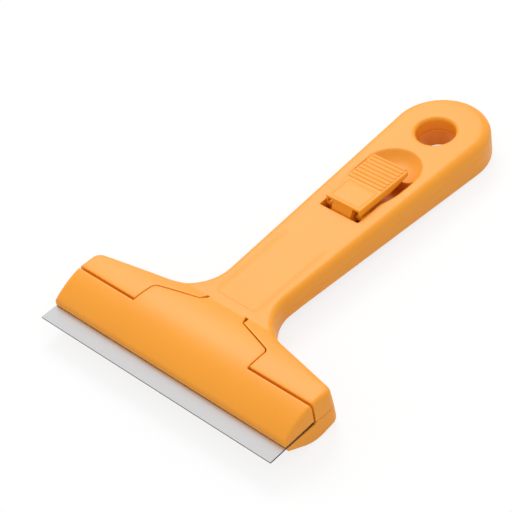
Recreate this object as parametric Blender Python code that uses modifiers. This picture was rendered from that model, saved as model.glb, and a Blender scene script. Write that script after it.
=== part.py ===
"""Wallpaper scraper with a clamped, replaceable blade.

The handle and head are two moulded halves held by screws from below.  A rocking
cover clamps the blade against the lower half.  Lifting the lock lever draws a
wedge bar back inside the handle; the cover's tail then drops and its front edge
springs up, which frees the blade.

Everything is drawn in the tool's own measures: x across the blade, y back from
the blade's edge, z up from the middle of the blade's thickness.  One empty moves
the whole tool so that the origin lies under the middle of its box, at rest level.
"""
import math

import bmesh
import bpy
from mathutils import Matrix, Vector

MM = 0.001
GAP = 0.3 * MM

# Blade
BLADE_WIDTH = 100.0 * MM
BLADE_DEPTH = 18.6 * MM
BLADE_THICKNESS = 0.6 * MM
BLADE_BEVEL_DEPTH = 1.6 * MM
BLADE_EDGE = 0.25 * MM
BLADE_EXPOSED = 6.2 * MM
NOTCH_X = 25.0 * MM
NOTCH_WIDTH = 5.0 * MM
NOTCH_DEPTH = 8.0 * MM

# Head, seen from above
HEAD_FRONT_HALF = 49.7 * MM
HEAD_FLARE = 1.2 * MM
HEAD_CORNER_Y = 27.2 * MM
HEAD_CORNER_RADIUS = 3.5 * MM
HEAD_FRONT_RADIUS = 1.2 * MM
HEAD_REAR_RISE = 0.235
NECK_RADIUS = 14.0 * MM

# Barrel-shaped top of the head, seen from the end
CREST_Y = 21.0 * MM
CREST_Z = 7.7 * MM
BARREL_FRONT_RADIUS = 23.5 * MM
BARREL_REAR_RADIUS = 36.7 * MM

# Handle
HANDLE_TOP = 4.8 * MM
WAIST_Y = 48.0 * MM
WAIST_HALF = 12.8 * MM
HANDLE_FLARE = 0.0535
TOOL_LENGTH = 156.7 * MM
END_RADIUS = 17.6 * MM
HOLE_SETBACK = 1.7 * MM
HOLE_RADIUS = 6.8 * MM

# Underside
REST_Z = -7.1 * MM
JAW_LIP_Z = -1.2 * MM
JAW_SLOPE = math.radians(30.0)
BELLY_RADIUS = 12.0 * MM
BELLY_END_Y = 25.5 * MM
WAIST_Z = -3.9 * MM
WAIST_END_Y = 55.0 * MM
HEEL_SETBACK = 2.1 * MM

# Edge rounding, where along the head it changes, and wall draft
NOSE_ROUND = 0.8 * MM
HEAD_ROUND = 1.5 * MM
HANDLE_ROUND = 2.5 * MM
LIP_ROUND = 0.35 * MM
JAW_ROUND = 1.2 * MM
BELLY_ROUND = 2.2 * MM
UNDER_ROUND = 1.6 * MM
NOSE_BLEND_Y = 12.0 * MM
JAW_BLEND_Y = 16.0 * MM
BELLY_BLEND_Y = 20.0 * MM
DRAFT = 0.2 * MM

# Blade cover, seen from above
COVER_REAR_LAP = 0.1 * MM
COVER_REAR_GAP = 0.9 * MM
COVER_SIDE_GAP = 0.4 * MM
TAB_FRONT_HALF = 24.6 * MM
TAB_REAR_HALF = 23.9 * MM
TAB_REAR_LAP = 0.8 * MM
TAB_CORNER_RADIUS = 1.4 * MM
BRIDGE_HALF = 7.6 * MM
BRIDGE_SLANT_HALF = 9.6 * MM
BRIDGE_SLANT_Y = 32.2 * MM
NOTCH_FLARE = 1.4 * MM
COVER_WALL = 2.3 * MM
CLAMP_LIP = 3.2 * MM
TAIL_HALF = 6.2 * MM
TAIL_END_Y = 40.5 * MM
TAIL_BOTTOM_Z = 0.7 * MM
TAIL_TOP_Z = 2.6 * MM

# Longest facets of the outline and the bends of the curved faces
HEAD_FACET = 3.2 * MM
HANDLE_FACET = 9.0 * MM
CROWN_BENDS = 12
BELLY_BENDS = 6
FIRST_BEND = 1.5 * MM
JAW_FLAT = 7.0 * MM
WAIST_BEND = 3.5 * MM

# Housing walls and screws
WALL = 2.2 * MM
ROOF = 2.0 * MM
FLOOR = 1.7 * MM
INNER_ROUND = 0.4 * MM
BOSS_RADIUS = 3.5 * MM
SCREW_RADIUS = 1.3 * MM
SCREW_HEAD_RADIUS = 2.4 * MM
SCREW_HEAD_HEIGHT = 1.6 * MM
SCREW_LENGTH = 6.0 * MM
SCREW_SEAT_Z = -2.6 * MM
SCREW_CROSS = 0.6 * MM
BELLY_SCREW_INSET = 12.9 * MM
BELLY_SCREW_Y = 23.6 * MM
NECK_SCREW_X = 10.8 * MM
NECK_SCREW_Y = 38.5 * MM
END_SCREW_SETBACK = 11.2 * MM

# Cover hinge and its springs
COVER_AXIS_SETBACK = 2.15 * MM
COVER_AXIS_Z = 4.2 * MM
COVER_OPEN = math.radians(6.0)
HINGE_PIN_RADIUS = 1.1 * MM
HINGE_PIN_SEAT = 2.6 * MM
HINGE_LUG_RADIUS = 2.4 * MM
HINGE_LUG_X = 14.0 * MM
HINGE_LUG_WIDTH = 4.0 * MM
SPRING_X = 8.0 * MM
SPRING_SETBACK = 1.35 * MM
SPRING_RADIUS = 1.7 * MM
SPRING_WIRE = 0.5 * MM
SPRING_TURNS = 6
SPRING_SEAT_Z = -4.4 * MM
SPRING_CUP_WALL = 1.2 * MM
PEG_RADIUS = 2.0 * MM
PEG_TOP_Z = 1.6 * MM
PEG_ROOT = 1.0 * MM

# Lock lever
SLOT_HALF = 8.1 * MM
SLOT_AHEAD = 4.0 * MM
SLOT_BEHIND = 20.9 * MM
SLOT_WALL = 1.8 * MM
SCOOP_HALF = 10.3 * MM
SCOOP_DEPTH = 2.3 * MM
SCOOP_START = 8.4 * MM
SCOOP_END = 23.4 * MM
LEVER_AXIS_REACH = 47.5 * MM
LEVER_AXIS_Z = 2.8 * MM
LEVER_LIFT = math.radians(36.0)
LEVER_HALF = 7.3 * MM
LEVER_AHEAD = 1.7 * MM
LEVER_BEHIND = 22.9 * MM
LEVER_FRONT_Z = 7.6 * MM
LEVER_REAR_Z = 6.8 * MM
LEVER_THICKNESS = 2.5 * MM
KNUCKLE_HALF = 4.1 * MM
KNUCKLE_RADIUS = 3.3 * MM
HUB_RADIUS = 2.0 * MM
LEVER_PIN_RADIUS = 0.9 * MM
LEVER_PIN_SEAT = 1.8 * MM
CRANK = 4.7 * MM
CRANK_TIP_RADIUS = 1.3 * MM
CRANK_HALF = 2.4 * MM
CRANK_ARM = 1.2 * MM
RIB_COUNT = 9
RIB_PITCH = 1.42 * MM
RIB_HEIGHT = 0.35 * MM
RIB_HALF = 6.5 * MM
RIB_MARGIN = 1.0 * MM
RIB_SINK = 0.02 * MM
ROOT = 0.5 * MM

# Wedge bar
BAR_HALF = 6.0 * MM
BAR_TOP_Z = 0.4 * MM
BAR_BOTTOM_Z = -1.6 * MM
BAR_BEHIND = 5.4 * MM
BAR_BLOCK_AHEAD = 3.4 * MM
WEDGE_SLOPE = 0.5
WEDGE_LENGTH = 3.0 * MM
RIB_THICKNESS = 1.5 * MM
UPPER_RIB_MARGIN = 15.0 * MM
BAR_REST_MARGIN = 9.0 * MM
GUIDE_SETBACK = 4.0 * MM
CHANNEL_LEAD = 5.0 * MM
BAR_RELIEF = 2.0 * MM

# Worked out from the driving dimensions
END_Y = TOOL_LENGTH - END_RADIUS
HOLE_Y = END_Y - HOLE_SETBACK
END_SCREW_Y = END_Y + END_SCREW_SETBACK
LEVER_AXIS_Y = END_Y - LEVER_AXIS_REACH
HEEL_Y = END_Y - HEEL_SETBACK
SLOT_FRONT_Y = LEVER_AXIS_Y - SLOT_AHEAD
SLOT_REAR_Y = LEVER_AXIS_Y + SLOT_BEHIND
SCOOP_FRONT_Y = LEVER_AXIS_Y + SCOOP_START
SCOOP_REAR_Y = LEVER_AXIS_Y + SCOOP_END
LEVER_FRONT_Y = LEVER_AXIS_Y - LEVER_AHEAD
LEVER_REAR_Y = LEVER_AXIS_Y + LEVER_BEHIND
BAR_REAR_Y = LEVER_AXIS_Y + BAR_BEHIND
BAR_BLOCK_Y = LEVER_AXIS_Y - BAR_BLOCK_AHEAD
HEAD_FRONT_Y = BLADE_EXPOSED
HEAD_REAR_HALF = HEAD_FRONT_HALF + HEAD_FLARE
BELLY_SCREW_X = HEAD_REAR_HALF - BELLY_SCREW_INSET
SPRING_Y = BLADE_DEPTH + SPRING_SETBACK + SPRING_RADIUS + SPRING_WIRE / 2
COVER_REAR_Y = BLADE_DEPTH - COVER_REAR_LAP
COVER_AXIS_Y = SPRING_Y + SPRING_RADIUS + SPRING_WIRE / 2 + COVER_AXIS_SETBACK
TAB_REAR_Y = COVER_AXIS_Y + TAB_REAR_LAP
BAR_TRAVEL = CRANK * math.sin(LEVER_LIFT)
CREASE_DROP = CREST_Z - HANDLE_TOP
CREASE_Y = CREST_Y + math.sqrt(CREASE_DROP * (2 * BARREL_REAR_RADIUS - CREASE_DROP))
COVER_BASE_Z = BLADE_THICKNESS / 2 + GAP
JAW_TOP_Z = -BLADE_THICKNESS / 2 - GAP
CRANK_TIP_Z = LEVER_AXIS_Z - CRANK
BLOCK_BOTTOM_Z = CRANK_TIP_Z - CRANK_TIP_RADIUS
FAR = 80.0 * MM
HIGH = 20.0 * MM

ORANGE = (0.93, 0.42, 0.07, 1.0)
DEEP_ORANGE = (0.86, 0.34, 0.05, 1.0)
STEEL = (0.62, 0.63, 0.65, 1.0)


def clear_scene():
    """Remove every object so that the script always starts from nothing."""
    for item in list(bpy.data.objects):
        bpy.data.objects.remove(item, do_unlink=True)


def make_collection(name):
    """Add a collection to the scene and return it."""
    group = bpy.data.collections.new(name)
    bpy.context.scene.collection.children.link(group)
    return group


clear_scene()
PARTS = make_collection("wallpaper_scraper")
CUTTERS = make_collection("cutters")


def make_empty(name, place, parent=None):
    """Add an empty at a place given in tool measures."""
    empty = bpy.data.objects.new(name, None)
    empty.empty_display_size = 5 * MM
    PARTS.objects.link(empty)
    empty.location = place
    empty.parent = parent
    return empty


TOOL = make_empty("tool_frame", (0, -TOOL_LENGTH / 2, -REST_Z))
LEVER_AXIS = make_empty("lever_axis", (0, LEVER_AXIS_Y, LEVER_AXIS_Z), TOOL)
COVER_AXIS = make_empty("cover_axis", (0, COVER_AXIS_Y, COVER_AXIS_Z), TOOL)


def make_material(name, colour, roughness, metallic):
    """Return a Principled material of one colour."""
    material = bpy.data.materials.new(name)
    material.use_nodes = True
    shader = material.node_tree.nodes["Principled BSDF"]
    shader.inputs["Base Color"].default_value = colour
    shader.inputs["Roughness"].default_value = roughness
    shader.inputs["Metallic"].default_value = metallic
    return material


def add_mesh(name, bm):
    """Turn a bmesh into an object that rides on the tool's frame."""
    mesh = bpy.data.meshes.new(name)
    bm.to_mesh(mesh)
    bm.free()
    made = bpy.data.objects.new(name, mesh)
    made.parent = TOOL
    return made


def as_part(made, material, axis=None):
    """Put an object among the parts, give it its material and its moving frame."""
    PARTS.objects.link(made)
    made.data.materials.clear()
    made.data.materials.append(material)
    made.data.shade_smooth()
    made.data.set_sharp_from_angle(angle=math.radians(35))
    if axis is not None:
        made.parent = axis
        made.matrix_parent_inverse = Matrix.Translation(-axis.location)
    return made


def as_cutter(made):
    """Put an object among the cutters, out of the render."""
    CUTTERS.objects.link(made)
    made.hide_render = True
    made.display_type = 'WIRE'
    return made


def combine(target, tool, operation, solver='EXACT'):
    """Cut, join or keep the target with another object."""
    if tool.name not in CUTTERS.objects:
        as_cutter(tool)
    step = target.modifiers.new(f"{operation.lower()}_{tool.name}", 'BOOLEAN')
    step.operation = operation
    step.solver = solver
    step.object = tool
    return target


def cut(target, *tools):
    """Take each tool away from the target."""
    for tool in tools:
        combine(target, tool, 'DIFFERENCE')
    return target


def thin_cut(target, *tools):
    """Take tools away where the exact solver leaves a thin edge open."""
    for tool in tools:
        combine(target, tool, 'DIFFERENCE', 'MANIFOLD')
    return target


def thin_join(target, *tools):
    """Add tools where the exact solver leaves a thin edge open."""
    for tool in tools:
        combine(target, tool, 'UNION', 'MANIFOLD')
    return target


def join(target, *tools):
    """Add each tool to the target."""
    for tool in tools:
        combine(target, tool, 'UNION')
    return target


def face_outwards(bm):
    """Turn every face of a closed mesh outwards."""
    bmesh.ops.recalc_face_normals(bm, faces=bm.faces)
    if bm.calc_volume(signed=True) < 0:
        bmesh.ops.reverse_faces(bm, faces=bm.faces)


def box(name, x, y, z):
    """A block between two corners; x, y and z are (low, high)."""
    bm = bmesh.new()
    bmesh.ops.create_cube(bm, size=1.0)
    size = Vector((x[1] - x[0], y[1] - y[0], z[1] - z[0]))
    middle = Vector((x[0] + x[1], y[0] + y[1], z[0] + z[1])) / 2
    bmesh.ops.scale(bm, vec=size, verts=bm.verts)
    bmesh.ops.translate(bm, vec=middle, verts=bm.verts)
    return add_mesh(name, bm)


def rod(name, radius, low, high, segments=24):
    """A round bar between two points that lie along x, or along z."""
    low = Vector(low)
    high = Vector(high)
    along = high - low
    bm = bmesh.new()
    bmesh.ops.create_cone(bm, cap_ends=True, segments=segments, radius1=radius,
                          radius2=radius, depth=along.length)
    turn = along.to_track_quat('Z', 'Y').to_matrix().to_4x4()
    place = Matrix.Translation((low + high) / 2) @ turn
    bmesh.ops.transform(bm, matrix=place, verts=bm.verts)
    return add_mesh(name, bm)


def plate(name, outline, low, high, side=False):
    """Extrude a closed flat outline.

    The outline is (x, y) and the plate runs up z; with side it is (y, z) and the
    plate runs along x.
    """
    curve = bpy.data.curves.new(name, 'CURVE')
    curve.dimensions = '2D'
    curve.fill_mode = 'BOTH'
    curve.extrude = (high - low) / 2
    spline = curve.splines.new('POLY')
    spline.points.add(len(outline) - 1)
    for point, (u, v) in zip(spline.points, outline):
        point.co = (u, v, 0, 1)
    spline.use_cyclic_u = True
    drawn = bpy.data.objects.new(name, curve)
    CUTTERS.objects.link(drawn)
    seen = drawn.evaluated_get(bpy.context.evaluated_depsgraph_get())
    mesh = bpy.data.meshes.new_from_object(seen)
    bm = bmesh.new()
    bm.from_mesh(mesh)
    bpy.data.objects.remove(drawn)
    bpy.data.meshes.remove(mesh)
    bmesh.ops.remove_doubles(bm, verts=bm.verts, dist=0.001 * MM)
    bmesh.ops.dissolve_limit(bm, angle_limit=math.radians(0.1), verts=bm.verts,
                             edges=bm.edges)
    bmesh.ops.translate(bm, vec=(0, 0, (low + high) / 2), verts=bm.verts)
    if side:
        for vert in bm.verts:
            vert.co = Vector((vert.co.z, vert.co.x, vert.co.y))
    face_outwards(bm)
    return add_mesh(name, bm)


def arc(centre, radius, start, end, steps):
    """Points on a circle from one angle to another, in radians."""
    points = []
    for step in range(steps + 1):
        angle = start + (end - start) * step / steps
        points.append((centre[0] + radius * math.cos(angle),
                       centre[1] + radius * math.sin(angle)))
    return points


def fillet(before, corner, after, radius, steps):
    """Points that round a corner between two straight runs."""
    corner = Vector(corner)
    back = (Vector(before) - corner).normalized()
    ahead = (Vector(after) - corner).normalized()
    half = back.angle(ahead) / 2
    centre = corner + (back + ahead).normalized() * radius / math.sin(half)
    first = corner + back * radius / math.tan(half) - centre
    last = corner + ahead * radius / math.tan(half) - centre
    start = math.atan2(first.y, first.x)
    turn = math.atan2(last.y, last.x) - start
    turn = (turn + math.pi) % (2 * math.pi) - math.pi
    return arc(centre, radius, start, start + turn, steps)


def mirrored(half):
    """Close a right half, drawn from the front centre to the rear centre."""
    left = [(-x, y) for x, y in reversed(half) if x > 0.01 * MM]
    return half + left


def denser(points, longest):
    """Split straight runs so that none is longer than allowed at its place."""
    filled = []
    for index, start in enumerate(points):
        end = points[(index + 1) % len(points)]
        run = math.dist(start, end)
        parts = max(1, math.ceil(run / longest((start[1] + end[1]) / 2)))
        for part in range(parts):
            share = part / parts
            filled.append((start[0] + (end[0] - start[0]) * share,
                           start[1] + (end[1] - start[1]) * share))
    return filled


def head_half(y):
    """Half width of the head's ends, which widen a little to the rear."""
    share = (y - HEAD_FRONT_Y) / (HEAD_CORNER_Y - HEAD_FRONT_Y)
    return HEAD_FRONT_HALF + (HEAD_REAR_HALF - HEAD_FRONT_HALF) * share


def handle_half(y):
    """Half width of the handle, which flares towards its end."""
    return WAIST_HALF + HANDLE_FLARE * (y - WAIST_Y)


def body_outline(front, front_radius):
    """Outline of head and handle from above, cut off square at a front line."""
    corner = (HEAD_REAR_HALF, HEAD_CORNER_Y)
    rise = HEAD_REAR_RISE
    y = corner[1] + rise * (corner[0] - WAIST_HALF) / (1 + rise * HANDLE_FLARE)
    neck = (handle_half(y), y)
    start = (head_half(front), front)
    half = [(0, front)]
    if front_radius > 0:
        half += fillet(half[0], start, corner, front_radius, 3)
    else:
        half.append(start)
    half += fillet(start, corner, neck, HEAD_CORNER_RADIUS, 4)
    along = (handle_half(END_Y), END_Y)
    half += fillet(corner, neck, along, NECK_RADIUS, 8)
    lean = math.atan(HANDLE_FLARE)
    half += arc((0, END_Y), END_RADIUS, -lean, math.pi / 2, 10)
    half[-1] = (0, END_Y + END_RADIUS)
    return denser(mirrored(half), lambda y: HEAD_FACET if y < CREASE_Y else HANDLE_FACET)


def blend_between(y, start, end):
    """Smooth passage from one height to another; start and end are (y, height)."""
    share = min(max((y - start[0]) / (end[0] - start[0]), 0), 1)
    return start[1] + (end[1] - start[1]) * share * share * (3 - 2 * share)


def top_height(y):
    """Barrel over the head, flat plane along the handle."""
    if y >= CREASE_Y:
        return HANDLE_TOP
    radius = BARREL_FRONT_RADIUS if y < CREST_Y else BARREL_REAR_RADIUS
    return CREST_Z - radius + math.sqrt(radius ** 2 - (y - CREST_Y) ** 2)


def under_height(y):
    """Sloped jaw, flat belly, raised waist and a handle that comes down again."""
    meet = HEAD_FRONT_Y + (JAW_LIP_Z - REST_Z) / math.tan(JAW_SLOPE)
    tangent = BELLY_RADIUS * math.tan(JAW_SLOPE / 2)
    if y < meet - tangent * math.cos(JAW_SLOPE):
        return JAW_LIP_Z - (y - HEAD_FRONT_Y) * math.tan(JAW_SLOPE)
    if y < meet + tangent:
        reach = meet + tangent - y
        return REST_Z + BELLY_RADIUS - math.sqrt(BELLY_RADIUS ** 2 - reach ** 2)
    if y < WAIST_END_Y:
        return blend_between(y, (BELLY_END_Y, REST_Z), (WAIST_Y, WAIST_Z))
    share = min((y - WAIST_END_Y) / (HEEL_Y - WAIST_END_Y), 1)
    return WAIST_Z + (REST_Z - WAIST_Z) * share


def top_round(y):
    """Radius of the upper edge: fine at the nose, full along the handle."""
    if y < CREST_Y:
        return blend_between(y, (HEAD_FRONT_Y, NOSE_ROUND), (NOSE_BLEND_Y, HEAD_ROUND))
    return blend_between(y, (BELLY_END_Y, HEAD_ROUND), (WAIST_Y, HANDLE_ROUND))


def under_round(y):
    """Radius of the lower edge."""
    if y < BELLY_END_Y:
        sides = blend_between(y, (HEAD_FRONT_Y, LIP_ROUND), (JAW_BLEND_Y, JAW_ROUND))
        return sides + blend_between(y, (BELLY_BLEND_Y, 0), (BELLY_END_Y, BELLY_ROUND - JAW_ROUND))
    return blend_between(y, (BELLY_END_Y, BELLY_ROUND), (WAIST_Y, UNDER_ROUND))


def inset_directions(outline):
    """For each outline point, the step inwards that moves its edges in by one."""
    steps = []
    count = len(outline)
    for index, point in enumerate(outline):
        here = Vector(point)
        back = (here - Vector(outline[index - 1])).normalized()
        ahead = (Vector(outline[(index + 1) % count]) - here).normalized()
        left_back = Vector((-back.y, back.x))
        left_ahead = Vector((-ahead.y, ahead.x))
        middle = (left_back + left_ahead).normalized()
        steps.append(middle / middle.dot(left_back))
    return steps


def crowned_block(name, outline, base, height, rounding, inset=0.0, steps=3, lines=()):
    """A solid from a flat base to a crowned face, with drafted, rounded edges.

    height(y) gives the crowned face and rounding(y) its edge radius.  It works
    upwards or downwards.  The crowned face bends at the y values in lines and is
    flat between them.
    """
    inwards = inset_directions(outline)
    up = 1 if height(outline[0][1]) > base else -1
    depths = [y for x, y in outline]
    bends = [y for y in lines if min(depths) + GAP < y < max(depths) - GAP]
    stations = [min(depths), *bends, max(depths)]

    def level(y):
        before = max(index for index in range(len(stations) - 1)
                     if index == 0 or stations[index] <= y)
        near, far = stations[before], stations[before + 1]
        share = (y - near) / (far - near)
        return height(near) + (height(far) - height(near)) * share

    def ring(step):
        verts = []
        for point, inward in zip(outline, inwards):
            place = Vector(point) + inward * inset
            if step is None:
                verts.append(bm.verts.new((place.x, place.y, base)))
                continue
            angle = math.pi / 2 * step / steps
            radius = rounding(place.y)
            place += inward * (DRAFT + radius * (1 - math.cos(angle)))
            z = level(place.y) - up * radius * (1 - math.sin(angle))
            verts.append(bm.verts.new((place.x, place.y, z)))
        return verts

    bm = bmesh.new()
    rings = [ring(None)] + [ring(step) for step in range(steps + 1)]
    bm.faces.new(rings[0])
    for lower, upper in zip(rings, rings[1:]):
        for index in range(len(lower)):
            bm.faces.new((lower[index - 1], lower[index], upper[index], upper[index - 1]))
    faces = [bm.faces.new(rings[-1])]
    for bend in bends:
        parts = faces + [edge for face in faces for edge in face.edges]
        parts += [vert for face in faces for vert in face.verts]
        made = bmesh.ops.bisect_plane(bm, geom=list(set(parts)), dist=0.001 * MM,
                                      plane_co=(0, bend, 0), plane_no=(0, 1, 0))
        faces = [item for item in made["geom"] if isinstance(item, bmesh.types.BMFace)]
    for vert in {vert for face in faces for vert in face.verts}:
        vert.co.z = level(vert.co.y)
    face_outwards(bm)
    return add_mesh(name, bm)


def span(low, high, steps):
    """Evenly spread values from low to high."""
    return [low + (high - low) * step / steps for step in range(steps + 1)]


TOP_LINES = span(HEAD_FRONT_Y + FIRST_BEND, CREASE_Y, CROWN_BENDS)
UNDER_LINES = span(HEAD_FRONT_Y + JAW_FLAT, BELLY_END_Y, BELLY_BENDS)
UNDER_LINES += span(BELLY_END_Y + WAIST_BEND, WAIST_END_Y, BELLY_BENDS) + [HEEL_Y]


def cover_outline(front, rear_gap=0.0, side_gap=0.0, bridge_gap=0.0, notch=0.0):
    """The cover from above, or with gaps the space that the cover needs."""
    rear = COVER_REAR_Y + rear_gap
    wing = (FAR, rear)
    inner = (TAB_FRONT_HALF + side_gap, rear)
    tab = (TAB_REAR_HALF + side_gap, TAB_REAR_Y + side_gap)
    slant = (BRIDGE_SLANT_HALF + side_gap, BRIDGE_SLANT_Y + side_gap)
    bridge = (BRIDGE_HALF + notch, CREASE_Y + bridge_gap)
    half = [(0, front), (FAR, front), wing, inner]
    half += fillet(inner, tab, slant, TAB_CORNER_RADIUS, 3)
    half += [slant, bridge, (0, bridge[1])]
    return mirrored(half)


def circle_rib(name, x, y, radius, z):
    """An upright round post, used for bosses and for the holes in them."""
    return rod(name, radius, (x, y, z[0]), (x, y, z[1]), 20)


SCREWS = {
    "belly_left": (-BELLY_SCREW_X, BELLY_SCREW_Y),
    "belly_right": (BELLY_SCREW_X, BELLY_SCREW_Y),
    "neck_left": (-NECK_SCREW_X, NECK_SCREW_Y),
    "neck_right": (NECK_SCREW_X, NECK_SCREW_Y),
    "handle_end": (0.0, END_SCREW_Y),
}


def finger_scoop():
    """A long dish for the fingertip under the lever's rear end."""
    radius = (SCOOP_HALF ** 2 + SCOOP_DEPTH ** 2) / (2 * SCOOP_DEPTH)
    bm = bmesh.new()
    bmesh.ops.create_uvsphere(bm, u_segments=64, v_segments=48, radius=radius)
    turn = Matrix.Rotation(math.pi / 2, 4, 'X')
    bmesh.ops.transform(bm, matrix=turn, verts=bm.verts)
    middle = (SCOOP_FRONT_Y + SCOOP_REAR_Y) / 2
    reach = (SCOOP_REAR_Y - SCOOP_FRONT_Y) / 2
    for vert in bm.verts:
        side = 1 if vert.co.y > 0 else -1
        vert.co.y += middle + side * reach
        vert.co.z += HANDLE_TOP - SCOOP_DEPTH + radius
    return add_mesh("scoop_dish", bm)


def lever_slot(name, extra=0.0):
    """The opening for the lever, or with extra the wall round it."""
    return box(name, (-SLOT_HALF - extra, SLOT_HALF + extra),
               (SLOT_FRONT_Y - extra, SLOT_REAR_Y + extra), (-HIGH, HIGH))


def hang_hole(name):
    """The round hole that the tool hangs by."""
    return circle_rib(name, 0, HOLE_Y, HOLE_RADIUS, (-HIGH, HIGH))


def upper_cavity():
    """The hollow of the upper half: two shoulders and the front of the handle."""
    outline = body_outline(COVER_REAR_Y + COVER_REAR_GAP, 0)
    hollow = crowned_block("upper_cavity", outline, -GAP, lambda y: top_height(y) - ROOF,
                           lambda y: INNER_ROUND, inset=WALL, steps=1, lines=TOP_LINES)
    tab_wall = plate("upper_tab_wall", cover_outline(0, 0, COVER_SIDE_GAP + WALL, GAP + WALL,
                                                     NOTCH_FLARE + WALL), -HIGH, HIGH)
    rear = box("upper_rear_block", (-FAR, FAR), (SLOT_FRONT_Y - SLOT_WALL, 2 * FAR),
               (-HIGH, HIGH))
    thin_cut(hollow, tab_wall, rear)
    for place, (x, y) in SCREWS.items():
        if y < SLOT_FRONT_Y:
            thin_cut(hollow, circle_rib(f"upper_boss_{place}", x, y, BOSS_RADIUS, (-HIGH, HIGH)))
    for number, y in enumerate(span(WAIST_END_Y, SLOT_FRONT_Y - UPPER_RIB_MARGIN, 1)):
        rib = box(f"upper_rib_{number}", (-FAR, FAR), (y, y + RIB_THICKNESS), (-HIGH, HIGH))
        thin_cut(hollow, rib)
    return hollow


def upper_housing(material):
    """Upper half of the body, open in front for the cover."""
    made = crowned_block("upper_housing", body_outline(HEAD_FRONT_Y, HEAD_FRONT_RADIUS),
                         GAP / 2, top_height, top_round, lines=TOP_LINES)
    cover_space = plate("cover_space", cover_outline(-FAR, COVER_REAR_GAP, COVER_SIDE_GAP, GAP,
                                                     NOTCH_FLARE), -HIGH, HIGH)
    tail_window = box("tail_window", (-TAIL_HALF - 2 * GAP, TAIL_HALF + 2 * GAP),
                      (CREASE_Y - WALL, TAIL_END_Y + WALL), (-HIGH, TAIL_TOP_Z + GAP))
    bar_channel = box("bar_channel", (-BAR_HALF - GAP, BAR_HALF + GAP),
                      (TAIL_END_Y - CHANNEL_LEAD, BAR_REAR_Y + BAR_TRAVEL + GAP),
                      (-HIGH, BAR_TOP_Z + GAP))
    pin_hole = rod("lever_pin_hole", LEVER_PIN_RADIUS + GAP,
                   (-SLOT_HALF - LEVER_PIN_SEAT - GAP, LEVER_AXIS_Y, LEVER_AXIS_Z),
                   (SLOT_HALF + LEVER_PIN_SEAT + GAP, LEVER_AXIS_Y, LEVER_AXIS_Z))
    thin_cut(made, cover_space, upper_cavity(), tail_window, bar_channel)
    thin_cut(made, lever_slot("lever_slot"), finger_scoop(), hang_hole("upper_hang_hole"),
             pin_hole)
    for place, (x, y) in SCREWS.items():
        top = SCREW_SEAT_Z + SCREW_LENGTH + GAP
        thin_cut(made, circle_rib(f"pilot_{place}", x, y, SCREW_RADIUS + GAP, (-HIGH, top)))
    for side in (-1, 1):
        inner = side * (TAB_REAR_HALF - WALL)
        outer = side * (TAB_FRONT_HALF + COVER_SIDE_GAP + HINGE_PIN_SEAT + GAP)
        reach = HINGE_PIN_RADIUS + GAP
        slot = box(f"hinge_slot_{side}", sorted((inner, outer)),
                   (COVER_AXIS_Y - reach, COVER_AXIS_Y + reach), (-HIGH, COVER_AXIS_Z + reach))
        thin_cut(made, slot)
    return as_part(made, material)


def lower_cavity():
    """The hollow of the lower half, with ribs that guide and carry the bar."""
    outline = body_outline(COVER_REAR_Y, 0)
    hollow = crowned_block("lower_cavity", outline, GAP, lambda y: under_height(y) + FLOOR,
                           lambda y: INNER_ROUND, inset=WALL, steps=1, lines=UNDER_LINES)
    rear = box("lower_rear_block", (-FAR, FAR), (SLOT_REAR_Y, 2 * FAR), (-HIGH, HIGH))
    thin_cut(hollow, rear)
    for place, (x, y) in SCREWS.items():
        if y < SLOT_FRONT_Y:
            thin_cut(hollow, circle_rib(f"lower_boss_{place}", x, y, BOSS_RADIUS, (-HIGH, HIGH)))
    for side in (-1, 1):
        inner = BAR_HALF + GAP
        guide = box(f"bar_guide_{side}", sorted((side * inner, side * (inner + RIB_THICKNESS))),
                    (TAIL_END_Y + GUIDE_SETBACK, SLOT_REAR_Y + WALL), (-HIGH, HIGH))
        cup = circle_rib(f"spring_cup_{side}", side * SPRING_X, SPRING_Y,
                         SPRING_RADIUS + SPRING_WIRE / 2 + GAP + SPRING_CUP_WALL,
                         (-HIGH, JAW_TOP_Z))
        thin_cut(hollow, guide, cup)
    for number, y in enumerate(span(WAIST_Y, SLOT_FRONT_Y - BAR_REST_MARGIN, 2)):
        rib = box(f"bar_rest_{number}", (-BAR_HALF - RIB_THICKNESS, BAR_HALF + RIB_THICKNESS),
                  (y, y + RIB_THICKNESS), (-HIGH, BAR_BOTTOM_Z - GAP))
        thin_cut(hollow, rib)
    return hollow


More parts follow.
